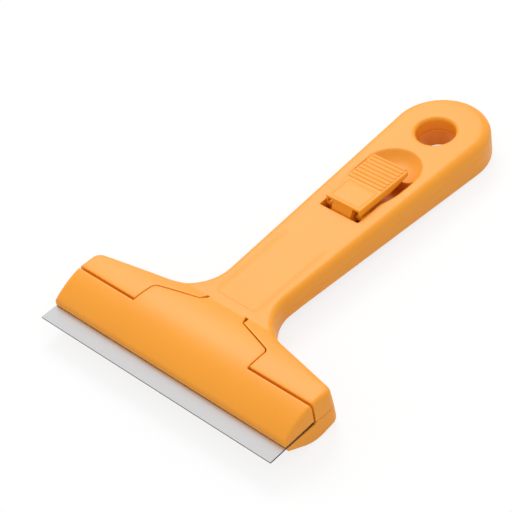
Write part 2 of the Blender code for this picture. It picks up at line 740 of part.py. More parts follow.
def lower_housing(material):
    """Lower half of the body with the jaw that the blade lies on."""
    made = crowned_block("lower_housing", body_outline(HEAD_FRONT_Y, HEAD_FRONT_RADIUS),
                         -GAP / 2, under_height, under_round, lines=UNDER_LINES)
    bed = box("blade_bed", (-FAR, FAR), (-FAR, BLADE_DEPTH + GAP), (JAW_TOP_Z, HIGH))
    thin_cut(made, bed, lower_cavity(), hang_hole("lower_hang_hole"))
    for side in (-1, 1):
        spring_hole = circle_rib(f"spring_hole_{side}", side * SPRING_X, SPRING_Y,
                                 SPRING_RADIUS + SPRING_WIRE / 2 + GAP,
                                 (SPRING_SEAT_Z - SPRING_WIRE / 2 - GAP, HIGH))
        thin_cut(made, spring_hole)
    for place, (x, y) in SCREWS.items():
        shaft_hole = circle_rib(f"shaft_hole_{place}", x, y, SCREW_RADIUS + GAP, (-HIGH, HIGH))
        head_hole = circle_rib(f"head_hole_{place}", x, y, SCREW_HEAD_RADIUS + GAP,
                               (-HIGH, SCREW_SEAT_Z))
        thin_cut(made, shaft_hole, head_hole)
    for side in (-1, 1):
        peg = circle_rib(f"blade_peg_{side}", side * NOTCH_X,
                         BLADE_DEPTH - NOTCH_DEPTH + NOTCH_WIDTH / 2,
                         PEG_RADIUS, (JAW_TOP_Z - PEG_ROOT, PEG_TOP_Z))
        low = TAB_FRONT_HALF + COVER_SIDE_GAP + GAP
        post = box(f"hinge_post_{side}", sorted((side * low, side * (low + RIB_THICKNESS))),
                   (COVER_AXIS_Y - HINGE_PIN_RADIUS, COVER_AXIS_Y + HINGE_PIN_RADIUS),
                   (under_height(COVER_AXIS_Y) + FLOOR / 2,
                    COVER_AXIS_Z - HINGE_PIN_RADIUS - GAP))
        thin_join(made, peg, post)
    return as_part(made, material)


def cover_cavity():
    """The hollow under the cover, which leaves a clamping lip along the front."""
    inner = (TAB_FRONT_HALF - COVER_WALL, COVER_REAR_Y - COVER_WALL)
    tab = (TAB_REAR_HALF - COVER_WALL, TAB_REAR_Y - COVER_WALL / 2)
    neck = (BRIDGE_HALF, CREASE_Y - COVER_WALL)
    front = HEAD_FRONT_Y + CLAMP_LIP
    half = [(0, front), (head_half(front) - COVER_WALL, front),
            (head_half(front) - COVER_WALL, inner[1]), inner, tab, neck, (0, neck[1])]
    hollow = plate("cover_cavity", mirrored(half), -HIGH, HIGH)
    skin = crowned_block("cover_inner_skin", body_outline(HEAD_FRONT_Y, HEAD_FRONT_RADIUS),
                         -HIGH, lambda y: top_height(y) - COVER_WALL, lambda y: INNER_ROUND,
                         inset=INNER_ROUND, steps=1, lines=TOP_LINES)
    return combine(hollow, skin, 'INTERSECT')


def blade_cover(material):
    """Rocking cover: wings over the blade, a tab on the hinge and a tail behind."""
    made = crowned_block("blade_cover", body_outline(HEAD_FRONT_Y, HEAD_FRONT_RADIUS),
                         COVER_BASE_Z, top_height, top_round, lines=TOP_LINES)
    shape = plate("cover_shape", cover_outline(-FAR), -HIGH, HIGH)
    combine(made, shape, 'INTERSECT', 'MANIFOLD')
    thin_cut(made, cover_cavity())
    tail = box("cover_tail", (-TAIL_HALF, TAIL_HALF), (CREASE_Y - COVER_WALL / 2, TAIL_END_Y),
               (TAIL_BOTTOM_Z, TAIL_TOP_Z))
    thin_join(made, tail)
    for side in (-1, 1):
        middle = side * HINGE_LUG_X
        low = middle - HINGE_LUG_WIDTH / 2
        ends = ((low, COVER_AXIS_Y, COVER_AXIS_Z),
                (low + HINGE_LUG_WIDTH, COVER_AXIS_Y, COVER_AXIS_Z))
        thin_join(made, rod(f"hinge_lug_{side}", HINGE_LUG_RADIUS, *ends))
    pin_space = rod("hinge_pin_hole", HINGE_PIN_RADIUS + GAP, (-FAR, COVER_AXIS_Y, COVER_AXIS_Z),
                    (FAR, COVER_AXIS_Y, COVER_AXIS_Z))
    thin_cut(made, pin_space)
    return as_part(made, material, COVER_AXIS)


def blade(material):
    """Flat steel blade, ground on its underside, with two notches for the pegs."""
    half = BLADE_WIDTH / 2
    thick = BLADE_THICKNESS / 2
    section = [(0, thick), (0, thick - BLADE_EDGE), (BLADE_BEVEL_DEPTH, -thick),
               (BLADE_DEPTH, -thick), (BLADE_DEPTH, thick)]
    made = plate("blade", section, -half, half, side=True)
    for side in (-1, 1):
        end = BLADE_DEPTH - NOTCH_DEPTH + NOTCH_WIDTH / 2
        slot = box(f"notch_slot_{side}", (side * NOTCH_X - NOTCH_WIDTH / 2,
                                          side * NOTCH_X + NOTCH_WIDTH / 2),
                   (end, FAR), (-HIGH, HIGH))
        slot_end = circle_rib(f"notch_end_{side}", side * NOTCH_X, end, NOTCH_WIDTH / 2,
                              (-HIGH / 2, HIGH / 2))
        cut(made, slot, slot_end)
    return as_part(made, material)


def lever_top(y):
    """Height of the lever's upper face, which falls a little to the rear."""
    share = (y - LEVER_FRONT_Y) / (LEVER_REAR_Y - LEVER_FRONT_Y)
    return LEVER_FRONT_Z + (LEVER_REAR_Z - LEVER_FRONT_Z) * share


def lever_ribs():
    """Cross ribs under the thumb, as one comb that sinks into the plate."""
    comb = []
    first = LEVER_REAR_Y - RIB_MARGIN - RIB_COUNT * RIB_PITCH
    for rib in range(RIB_COUNT):
        start = first + rib * RIB_PITCH
        for share, lift in ((0.1, 0.0), (0.35, 1.0), (0.65, 1.0), (0.9, 0.0)):
            y = start + share * RIB_PITCH
            comb.append((y, lever_top(y) + lift * RIB_HEIGHT - RIB_SINK))
    end = first + RIB_COUNT * RIB_PITCH
    comb += [(end, lever_top(end) - ROOT), (first, lever_top(first) - ROOT)]
    return plate("lever_ribs", comb, -RIB_HALF, RIB_HALF, side=True)


def lock_lever(material):
    """Thumb lever: a ribbed plate, a round knuckle on the pin and a crank below."""
    axis = (LEVER_AXIS_Y, LEVER_AXIS_Z)
    outline = [(LEVER_FRONT_Y, LEVER_FRONT_Z), (LEVER_REAR_Y, LEVER_REAR_Z),
               (LEVER_REAR_Y, LEVER_REAR_Z - LEVER_THICKNESS),
               (LEVER_FRONT_Y, LEVER_FRONT_Z - LEVER_THICKNESS)]
    made = plate("lock_lever", outline, -LEVER_HALF, LEVER_HALF, side=True)
    nose = arc(axis, KNUCKLE_RADIUS, math.radians(150), math.radians(180), 4)
    knuckle = [(LEVER_FRONT_Y + ROOT, LEVER_FRONT_Z - ROOT)] + nose
    knuckle += arc(axis, HUB_RADIUS, math.radians(200), math.radians(350), 8)
    knuckle.append((LEVER_AXIS_Y + 2 * KNUCKLE_RADIUS, LEVER_FRONT_Z - LEVER_THICKNESS + ROOT))
    join(made, plate("lever_knuckle", knuckle, -KNUCKLE_HALF, KNUCKLE_HALF, side=True))
    tip = (LEVER_AXIS_Y, CRANK_TIP_Z)
    crank = arc(tip, CRANK_TIP_RADIUS, math.radians(157), math.radians(383), 10)
    crank += [(LEVER_AXIS_Y + CRANK_ARM, LEVER_AXIS_Z), (LEVER_AXIS_Y - CRANK_ARM, LEVER_AXIS_Z)]
    join(made, plate("lever_crank", crank, -CRANK_HALF, CRANK_HALF, side=True), lever_ribs())
    bore = rod("lever_bore", LEVER_PIN_RADIUS + GAP, (-FAR, *axis), (FAR, *axis))
    cut(made, bore)
    return as_part(made, material, LEVER_AXIS)


def clamp_bar(material):
    """Wedge bar: its nose lifts the cover's tail, its window takes the crank."""
    nose_tip = TAIL_END_Y - WEDGE_LENGTH
    tip_top = BAR_TOP_Z - WEDGE_SLOPE * WEDGE_LENGTH
    outline = [(nose_tip, BAR_BOTTOM_Z), (BAR_BLOCK_Y, BAR_BOTTOM_Z),
               (BAR_BLOCK_Y, BLOCK_BOTTOM_Z), (BAR_REAR_Y, BLOCK_BOTTOM_Z),
               (BAR_REAR_Y, BAR_TOP_Z), (TAIL_END_Y, BAR_TOP_Z), (nose_tip, tip_top)]
    made = plate("clamp_bar", outline, -BAR_HALF, BAR_HALF, side=True)
    sides = (-CRANK_HALF - GAP, CRANK_HALF + GAP)
    pocket_front = LEVER_AXIS_Y - CRANK_TIP_RADIUS - GAP
    pocket_rear = LEVER_AXIS_Y + CRANK_TIP_RADIUS + GAP
    pocket = box("crank_pocket", sides, (pocket_front, pocket_rear), (-HIGH, HIGH))
    relief = box("crank_relief", (-KNUCKLE_HALF - GAP, KNUCKLE_HALF + GAP),
                 (pocket_front - BAR_RELIEF, pocket_rear + GAP),
                 (CRANK_TIP_Z + CRANK_TIP_RADIUS / 2, HIGH))
    cut(made, pocket, relief)
    return as_part(made, material)


def pin(name, radius, reach, y, z, material):
    """A plain steel pin across the tool."""
    return as_part(rod(name, radius, (-reach, y, z), (reach, y, z)), material)


def coil_spring(name, x, material):
    """Compression spring between the lower half and the cover."""
    low = SPRING_SEAT_Z + SPRING_WIRE / 2
    high = top_height(SPRING_Y) - COVER_WALL - GAP - SPRING_WIRE / 2
    per_turn = 10
    count = SPRING_TURNS * per_turn + 1
    curve = bpy.data.curves.new(name, 'CURVE')
    curve.dimensions = '3D'
    curve.bevel_depth = SPRING_WIRE / 2
    curve.bevel_resolution = 1
    curve.use_fill_caps = True
    spline = curve.splines.new('POLY')
    spline.points.add(count - 1)
    for index, point in enumerate(spline.points):
        share = index / (count - 1)
        angle = 2 * math.pi * SPRING_TURNS * share
        point.co = (x + SPRING_RADIUS * math.cos(angle), SPRING_Y + SPRING_RADIUS * math.sin(angle),
                    low + (high - low) * share, 1)
    made = bpy.data.objects.new(name, curve)
    made.parent = TOOL
    curve.materials.append(material)
    PARTS.objects.link(made)
    return made


def screw_mesh():
    """Profile of a pan-head screw, turned round z; its seat is at height zero."""
    head = SCREW_HEAD_RADIUS
    profile = [(0, SCREW_LENGTH), (SCREW_RADIUS * 0.5, SCREW_LENGTH),
               (SCREW_RADIUS, SCREW_LENGTH - SCREW_RADIUS), (SCREW_RADIUS, -GAP),
               (head, -GAP), (head, -SCREW_HEAD_HEIGHT * 0.6),
               (head * 0.7, -SCREW_HEAD_HEIGHT), (0, -SCREW_HEAD_HEIGHT)]
    bm = bmesh.new()
    verts = [bm.verts.new((x, 0, z)) for x, z in profile]
    for low, high in zip(verts, verts[1:]):
        bm.edges.new((low, high))
    mesh = bpy.data.meshes.new("housing_screw")
    bm.to_mesh(mesh)
    bm.free()
    return mesh


def housing_screw(name, mesh, x, y, material):
    """One screw from below, with a cross cut in its head."""
    made = bpy.data.objects.new(name, mesh)
    made.parent = TOOL
    made.location = (x, y, SCREW_SEAT_Z)
    turned = made.modifiers.new("turned", 'SCREW')
    turned.axis = 'Z'
    turned.steps = 16
    turned.render_steps = 16
    turned.use_merge_vertices = True
    turned.merge_threshold = 0.005 * MM
    turned.use_smooth_shade = True
    bottom = SCREW_SEAT_Z - SCREW_HEAD_HEIGHT
    reach = SCREW_HEAD_RADIUS * 0.6
    slim = SCREW_CROSS / 2
    depth = (bottom - GAP, bottom + SCREW_HEAD_HEIGHT * 0.6)
    for label, (a, b) in {"a": (reach, slim), "b": (slim, reach)}.items():
        cross = box(f"cross_{label}_{name}", (x - a, x + a), (y - b, y + b), depth)
        cut(made, cross)
    PARTS.objects.link(made)
    made.data.materials.clear()
    made.data.materials.append(material)
    return made


def build():
    """Make every part of the scraper."""
    body = make_material("orange_plastic", ORANGE, 0.42, 0.0)
    inner = make_material("inner_plastic", DEEP_ORANGE, 0.45, 0.0)
    steel = make_material("blade_steel", STEEL, 0.28, 1.0)
    zinc = make_material("zinc_steel", STEEL, 0.35, 1.0)
    upper_housing(body)
    lower_housing(body)
    blade_cover(body)
    blade(steel)
    lock_lever(body)
    clamp_bar(inner)
    pin("lever_pin", LEVER_PIN_RADIUS, SLOT_HALF + LEVER_PIN_SEAT, LEVER_AXIS_Y,
        LEVER_AXIS_Z, zinc)
    pin("cover_hinge_pin", HINGE_PIN_RADIUS,
        TAB_FRONT_HALF + COVER_SIDE_GAP + HINGE_PIN_SEAT, COVER_AXIS_Y, COVER_AXIS_Z, zinc)
    coil_spring("cover_spring_left", -SPRING_X, zinc)
    coil_spring("cover_spring_right", SPRING_X, zinc)
    mesh = screw_mesh()
    for place, (x, y) in SCREWS.items():
        housing_screw(f"screw_{place}", mesh, x, y, zinc)


build()
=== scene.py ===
"""Looks of a wallpaper scraper: satin orange mouldings, a steel blade and a ribbed thumb lever.

Shapes are worked out in the tool's own measures, in millimetres: x across the blade, y back
from its edge, z up from the middle of its thickness.  to_frame() carries them into the frame.
"""
import math

import bmesh
import bpy
import numpy as np
from mathutils import Matrix, Vector
from mathutils.geometry import delaunay_2d_cdt


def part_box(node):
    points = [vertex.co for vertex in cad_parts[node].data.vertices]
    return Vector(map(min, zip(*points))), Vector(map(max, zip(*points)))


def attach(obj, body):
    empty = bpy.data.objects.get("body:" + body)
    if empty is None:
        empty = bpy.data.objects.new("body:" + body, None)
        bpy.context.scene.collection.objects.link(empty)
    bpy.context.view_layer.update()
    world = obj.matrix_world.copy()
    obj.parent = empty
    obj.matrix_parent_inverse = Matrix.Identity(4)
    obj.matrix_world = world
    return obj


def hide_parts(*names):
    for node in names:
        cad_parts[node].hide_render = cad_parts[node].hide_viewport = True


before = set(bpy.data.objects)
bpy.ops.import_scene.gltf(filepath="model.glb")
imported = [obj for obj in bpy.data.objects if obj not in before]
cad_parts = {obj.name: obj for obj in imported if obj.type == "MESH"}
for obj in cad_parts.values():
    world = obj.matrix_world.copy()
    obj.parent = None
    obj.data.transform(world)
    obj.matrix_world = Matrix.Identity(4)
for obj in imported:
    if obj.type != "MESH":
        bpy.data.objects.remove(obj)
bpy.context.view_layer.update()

MM = 0.001
BLADE_LOW, BLADE_HIGH = (np.array(corner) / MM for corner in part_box("blade"))
ORIGIN = np.array((0, BLADE_LOW[1], (BLADE_LOW[2] + BLADE_HIGH[2]) / 2))

# Blade
BLADE_HALF = 50.0
BLADE_DEPTH = 18.6
BLADE_THICK = 0.6
GRIND_DEPTH = 1.4
EDGE_HEIGHT = 0.5
NOTCH_X = 25.0
NOTCH_WIDTH = 5.0
NOTCH_DEPTH = 8.0

# Head and handle, seen from above
FRONT_Y = 6.2
FRONT_HALF = 50.2
REAR_HALF = 50.9
CORNER_Y = 27.65
CORNER_RADIUS = 3.5
FRONT_RADIUS = 0.5
JAW_SETBACK = 1.25
REAR_RISE = 0.235
NECK_RADIUS = 15.2
WAIST_Y = 48.0
WAIST_HALF = 12.8
FLARE = 0.0535
LENGTH = 156.7
END_RADIUS = 17.6
END_Y = LENGTH - END_RADIUS
HOLE_Y = 137.4
HOLE_RADIUS = 6.8
HOLE_THROAT = 6.5

# Top and underside, seen from the end
CREST_Y = 21.0
CREST_Z = 7.7
BARREL_FRONT = 23.5
BARREL_REAR = 36.7
HANDLE_TOP = 4.8
REST_Z = -7.1
JAW_LIP_Z = -1.2
JAW_SLOPE = math.radians(30)
BELLY_RADIUS = 12.0
BELLY_END_Y = 25.5
WAIST_Z = -3.9
WAIST_END_Y = 55.0
HEEL_Y = 137.0
DRAFT = 0.2
PARTING_GAP = 0.015
END_LEAN = 0.06
REAR_LEAN = 0.1
REAR_TOP = 6.5

# Blade cover
COVER_REAR_Y = 18.5
SHOULDER_Y = 19.3
TAB_FRONT_HALF = 24.6
TAB_REAR_HALF = 24.2
TAB_REAR_Y = 27.5
TAB_RADIUS = 2.1
SLANT_HALF = 9.2
SLANT_Y = 32.4
BRIDGE_HALF = 7.6
NOTCH_FLARE = 1.3
SIDE_GAP = 0.3
BRIDGE_GAP = 0.06
COVER_BASE = 0.55
COVER_LIFT = 0.5
JAW_TOP = -0.4
GAP_ROUND = 0.24
COVER_WALL = 2.3
CLAMP_LIP = 3.2
TAIL_HALF = 6.2
TAIL_END_Y = 40.5
TAIL_LOW = 0.7
TAIL_HIGH = 2.6

# Lock lever and its slot
PIVOT_Y = 91.6
PIVOT_Z = 2.8
SLOT_HALF = 8.2
SLOT_FRONT = 87.6
SLOT_REAR = 113.3
LEVER_HALF = 7.3
LEVER_FRONT = 89.9
LEVER_REAR = 115.0
LEVER_FRONT_Z = 7.5
LEVER_REAR_Z = 6.8
LEVER_THICK = 2.6
LEVER_TIP = 1.4
LEVER_FLARE = 1.0
LEVER_SKIN = 0.8
LEDGE_TOP = 3.8
KNUCKLE_HALF = 4.1
KNUCKLE_RADIUS = 3.3
HUB_RADIUS = 2.0
PIN_RADIUS = 0.9
CRANK = 4.7
CRANK_TIP = 1.3
CRANK_HALF = 2.4
RIB_COUNT = 8
RIB_REAR = 114.3
RIB_PITCH = 1.74
RIB_RADIUS = 0.75
RIB_RISE = 0.36
RIB_HALF = 7.0
RIB_SHIFT = -0.7
SCOOP_HALF = 10.3
SCOOP_DEPTH = 3.2
SCOOP_FRONT = 109.0
SCOOP_REAR = 114.1
SCOOP_SPREAD = 17.0
BAR_HALF = 6.0

# Rounds and engraved lines
HOLE_TOP_ROUND = 1.3
HOLE_UNDER_ROUND = 0.9
SLOT_ROUND = 0.22
SCREW_ROUND = 0.3
LEVER_ROUND = 0.35
PANEL_WIDTH = 0.24
PANEL_DEPTH = 0.08
PANEL_HALF = 8.9
PANEL_FRONT = 38.3
PANEL_REAR = 76.0
FRAME_WIDTH = 0.26
FRAME_DEPTH = 0.09
FRAME_HALF = 6.1
FRAME_FRONT = LEVER_FRONT + 1.1
FRAME_REAR = 100.4

# Places of the inner works, as in the solids
HINGE_Y = 26.0
HINGE_Z = 4.2
LUG_X = 14
LUG_HALF = 2
LUG_RADIUS = 2.4
HINGE_SLOT = ((21.7, 27.9), (24.6, 27.4), (-5, 5.6))
SPRING_X = 8
SPRING_Y = 21.9
WELL_RADIUS = 2.25
WELL_FLOOR = -4.95
PEG_Y = 13.1
PEG_RADIUS = 2.0
PEG_HALF = 1.6
TROUGH_FLOOR = -3.45
SCREW_PLACES = [(-38.0, 23.6), (38.0, 23.6), (-10.8, 38.5), (10.8, 38.5), (0.0, 150.3)]
SCREW_HOLE = 2.7
SCREW_SEAT = -2.6

# Beyond the tool on every side
FAR = 90.0

# Studio
WORLD_LIGHT = 0.84
KEY_LIGHT = 3.9


def to_frame(points):
    """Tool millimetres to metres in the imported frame."""
    return (np.asarray(points, float) + ORIGIN) * MM


def linear(code):
    """Linear colour from an sRGB hex value."""
    channels = [int(code[i:i + 2], 16) / 255 for i in (1, 3, 5)]
    return tuple(c / 12.92 if c <= 0.04045 else ((c + 0.055) / 1.055) ** 2.4 for c in channels) + (1,)


def node(tree, kind, links=None, **settings):
    """Add a shader or geometry node; settings name its options or inputs, links its wires."""
    made = tree.nodes.new(kind)
    for name, value in settings.items():
        if hasattr(made, name):
            setattr(made, name, value)
        else:
            made.inputs[name.replace("_", " ")].default_value = value
    for name, source in (links or {}).items():
        tree.links.new(source, made.inputs[name])
    return made


def plastic(name, top, deep, roughness, grain_mm, grain_height):
    """Injection-moulded ABS with a fine spark-eroded texture: satin, with a soft broad gloss."""
    material = bpy.data.materials.new(name)
    material.use_nodes = True
    tree = material.node_tree
    shader = tree.nodes["Principled BSDF"]
    place = node(tree, "ShaderNodeTexCoord").outputs["Object"]
    flow = node(tree, "ShaderNodeTexNoise", {"Vector": place}, Scale=1 / (18 * MM), Detail=3.0)
    tint = node(tree, "ShaderNodeMix", {"Factor": flow.outputs["Fac"]}, data_type='RGBA')
    tint.inputs["A"].default_value = linear(deep)
    tint.inputs["B"].default_value = linear(top)
    grain = node(tree, "ShaderNodeTexNoise", {"Vector": place}, Scale=1 / (grain_mm * MM), Detail=2.0)
    rough = node(tree, "ShaderNodeMapRange", {"Value": grain.outputs["Fac"]})
    rough.inputs["To Min"].default_value = roughness - 0.04
    rough.inputs["To Max"].default_value = roughness + 0.04
    bump = node(tree, "ShaderNodeBump", {"Height": grain.outputs["Fac"]}, Distance=grain_height * MM,
                Strength=0.6)
    tree.links.new(tint.outputs["Result"], shader.inputs["Base Color"])
    tree.links.new(rough.outputs["Result"], shader.inputs["Roughness"])
    tree.links.new(bump.outputs["Normal"], shader.inputs["Normal"])
    shader.inputs["IOR"].default_value = 1.53
    shader.inputs["Specular IOR Level"].default_value = 0.44
    shader.inputs["Subsurface Weight"].default_value = 0.1
    shader.inputs["Subsurface Radius"].default_value = (1.0, 0.45, 0.12)
    shader.inputs["Subsurface Scale"].default_value = 1.2 * MM
    return material


def steel(name, colour, roughness, grain_mm, across=(1, 1, 1)):
    """Rolled, ground or plated steel; across draws its grain out into lines along one way."""
    material = bpy.data.materials.new(name)
    material.use_nodes = True
    tree = material.node_tree
    shader = tree.nodes["Principled BSDF"]
    place = node(tree, "ShaderNodeTexCoord").outputs["Object"]
    stretch = node(tree, "ShaderNodeMapping", {"Vector": place}, Scale=across)
    lines = node(tree, "ShaderNodeTexNoise", {"Vector": stretch.outputs["Vector"]},
                 Scale=1 / (grain_mm * MM), Detail=4.0)
    tint = node(tree, "ShaderNodeMix", {"Factor": lines.outputs["Fac"]}, data_type='RGBA')
    base = linear(colour)
    tint.inputs["A"].default_value = tuple(c * 0.9 for c in base[:3]) + (1,)
    tint.inputs["B"].default_value = base
    rough = node(tree, "ShaderNodeMapRange", {"Value": lines.outputs["Fac"]})
    rough.inputs["To Min"].default_value = roughness - 0.06
    rough.inputs["To Max"].default_value = roughness + 0.06
    bump = node(tree, "ShaderNodeBump", {"Height": lines.outputs["Fac"]}, Distance=0.01 * MM, Strength=0.3)
    tree.links.new(tint.outputs["Result"], shader.inputs["Base Color"])
    tree.links.new(rough.outputs["Result"], shader.inputs["Roughness"])
    tree.links.new(bump.outputs["Normal"], shader.inputs["Normal"])
    shader.inputs["Metallic"].default_value = 1.0
    return material


def arc(centre, radius, start, end, steps):
    """Points on a circle from one angle to another, in degrees."""
    angles = np.radians(np.linspace(start, end, steps + 1))
    return [(centre[0] + radius * math.cos(a), centre[1] + radius * math.sin(a)) for a in angles]


def fillet(before, corner, after, radius, steps):
    """Points that round a corner between two straight runs."""
    corner = Vector(corner)
    back = (Vector(before) - corner).normalized()
    ahead = (Vector(after) - corner).normalized()
    half = back.angle(ahead) / 2
    centre = corner + (back + ahead).normalized() * radius / math.sin(half)
    first = corner + back * radius / math.tan(half) - centre
    last = corner + ahead * radius / math.tan(half) - centre
    start = math.degrees(math.atan2(first.y, first.x))
    turn = math.degrees(math.atan2(last.y, last.x)) - start
    return arc(centre, radius, start, start + (turn + 180) % 360 - 180, steps)


def mirrored(half):
    """Close a right half, drawn from the front centre to the rear centre."""
    return half + [(-x, y) for x, y in reversed(half) if x > 0.001]


def divided(points, longest, closed=True):
    """Split straight runs so that none is longer than asked."""
    filled = []
    last = len(points) if closed else len(points) - 1
    for index in range(last):
        start, end = points[index], points[(index + 1) % len(points)]
        parts = max(1, math.ceil(math.dist(start, end) / longest))
        for part in range(parts):
            share = part / parts
            filled.append((start[0] + (end[0] - start[0]) * share, start[1] + (end[1] - start[1]) * share))
    return filled if closed else filled + [points[-1]]


def inwards(outline, closed=True):
    """For each point, the step to the left that moves the line in by one."""
    line = np.array(outline)
    ahead = np.roll(line, -1, 0) - line
    if not closed:
        ahead[-1] = ahead[-2]
    ahead /= np.linalg.norm(ahead, axis=1)[:, None]
    back = np.roll(ahead, 1, 0)
    if not closed:
        back[0] = ahead[0]
    left = np.stack((-ahead[:, 1], ahead[:, 0]), 1)
    left_back = np.stack((-back[:, 1], back[:, 0]), 1)
    middle = left + left_back
    middle /= np.linalg.norm(middle, axis=1)[:, None]
    return middle / np.sum(middle * left, axis=1)[:, None]


def offset(outline, distance, closed=True):
    """The line moved to its left by a distance, which may differ from point to point."""
    step = inwards(outline, closed)
    return np.array(outline) + step * np.reshape(distance, (-1, 1))


def distance_to(points, line, closed=True):
    """Least distance from each point to a line of straight runs."""
    points, line = np.asarray(points), np.asarray(line)
    ends = np.roll(line, -1, 0) if closed else line[1:]
    starts = line if closed else line[:-1]
    run = ends - starts
    length = np.maximum(np.sum(run * run, axis=1), 1e-12)
    nearest = []
    for block in np.array_split(points, max(1, len(points) // 2000)):
        away = block[:, None, :] - starts[None]
        share = np.clip(np.sum(away * run[None], axis=2) / length, 0, 1)
        gap = away - share[:, :, None] * run[None]
        nearest.append(np.sqrt(np.min(np.sum(gap * gap, axis=2), axis=1)))
    return np.concatenate(nearest)


def inside(points, outline):
    """Whether each point lies inside a closed outline."""
    points, line = np.asarray(points), np.asarray(outline)
    ends = np.roll(line, -1, 0)
    within = np.zeros(len(points), bool)
    for (x1, y1), (x2, y2) in zip(line, ends):
        if y1 == y2:
            continue
        crosses = (points[:, 1] < y1) != (points[:, 1] < y2)
        at = x1 + (points[:, 1] - y1) * (x2 - x1) / (y2 - y1)
        within ^= crosses & (points[:, 0] < at)
    return within


def ease(value, start, end):
    """Smooth passage between two heights; start and end are (place, height)."""
    share = np.clip((value - start[0]) / (end[0] - start[0]), 0, 1)
    return start[1] + (end[1] - start[1]) * share * share * (3 - 2 * share)


def rounded(distance, radius):
    """How far a quarter-round edge has dropped at a distance from the wall."""
    reach = np.clip(1 - distance / radius, 0, 1)
    return radius * (1 - np.sqrt(np.maximum(1 - reach * reach, 0)))


def head_half(y):
    """Half width of the head's ends, which widen a little to the rear."""
    return FRONT_HALF + (REAR_HALF - FRONT_HALF) * (y - FRONT_Y) / (CORNER_Y - FRONT_Y)


def handle_half(y):
    """Half width of the handle, which flares towards its end."""
    return WAIST_HALF + FLARE * (y - WAIST_Y)


def body_half():
    """Right half of the outline of head and handle, from the front to the end."""
    corner = (REAR_HALF, CORNER_Y)
    neck_y = CORNER_Y + REAR_RISE * (REAR_HALF - WAIST_HALF) / (1 + REAR_RISE * FLARE)
    neck = (handle_half(neck_y), neck_y)
    half = [(0, FRONT_Y)] + fillet((0, FRONT_Y), (FRONT_HALF, FRONT_Y), corner, FRONT_RADIUS, 8)
    half += fillet((FRONT_HALF, FRONT_Y), corner, neck, CORNER_RADIUS, 12)
    half += fillet(corner, neck, (handle_half(END_Y), END_Y), NECK_RADIUS, 30)
    lean = math.degrees(math.atan(FLARE))
    return half + arc((0, END_Y), END_RADIUS, -lean, 90, 48)


def barrel(y):
    """Height of the head's barrel-shaped top."""
    radius = np.where(y < CREST_Y, BARREL_FRONT, BARREL_REAR)
    return CREST_Z - radius + np.sqrt(np.maximum(radius ** 2 - (y - CREST_Y) ** 2, 0))


def top_height(y):
    """Barrel over the head and a flat handle, with a narrow crease where they meet."""
    lift = barrel(y) - HANDLE_TOP
    crease = 0.12
    return HANDLE_TOP + np.where(y < CREST_Y, lift, (lift + np.sqrt(lift * lift + crease ** 2)) / 2)


def under_height(y):
    """Sloped jaw, flat belly, raised waist and a handle that comes down again."""
    meet = FRONT_Y + (JAW_LIP_Z - REST_Z) / math.tan(JAW_SLOPE)
    tangent = BELLY_RADIUS * math.tan(JAW_SLOPE / 2)
    reach = np.clip(meet + tangent - y, 0, BELLY_RADIUS)
    jaw = JAW_LIP_Z - (y - FRONT_Y) * math.tan(JAW_SLOPE)
    belly = REST_Z + BELLY_RADIUS - np.sqrt(BELLY_RADIUS ** 2 - reach ** 2)
    waist = ease(y, (BELLY_END_Y, REST_Z), (WAIST_Y, WAIST_Z))
    heel = WAIST_Z + (REST_Z - WAIST_Z) * np.clip((y - WAIST_END_Y) / (HEEL_Y - WAIST_END_Y), 0, 1)
    front = np.where(y < meet - tangent * math.cos(JAW_SLOPE), jaw, belly)
    return np.where(y < meet + tangent, front, np.where(y < WAIST_END_Y, waist, heel))


def top_round(y):
    """Radius of the upper edge: fine at the nose, fuller along the handle."""
    head = ease(y, (FRONT_Y, 0.7), (12.0, 1.1)) + ease(y, (COVER_REAR_Y, 0.0), (23.0, 0.4))
    return head + ease(y, (BELLY_END_Y, 0.0), (WAIST_Y, 0.7)) + 1.0 * np.clip((y - 50) / 87, 0, 1)


def under_round(y):
    """Radius of the lower edge."""
    return ease(y, (FRONT_Y, 0.35), (16.0, 1.2)) + ease(y, (20.0, 0.0), (BELLY_END_Y, 1.0)) \
        - ease(y, (BELLY_END_Y, 0.0), (WAIST_Y, 0.6))


BODY = divided(mirrored(body_half()), 1.6)
SKIN = offset(BODY, DRAFT)
TURNS = np.radians(np.linspace(0, 90, 7))


def edge_rings(rounding):
    """Lines along the body's rounded edge, one for each step of the round."""
    size = rounding(SKIN[:, 1])
    return [offset(SKIN, size * (1 - math.cos(turn))) for turn in TURNS[1:]]


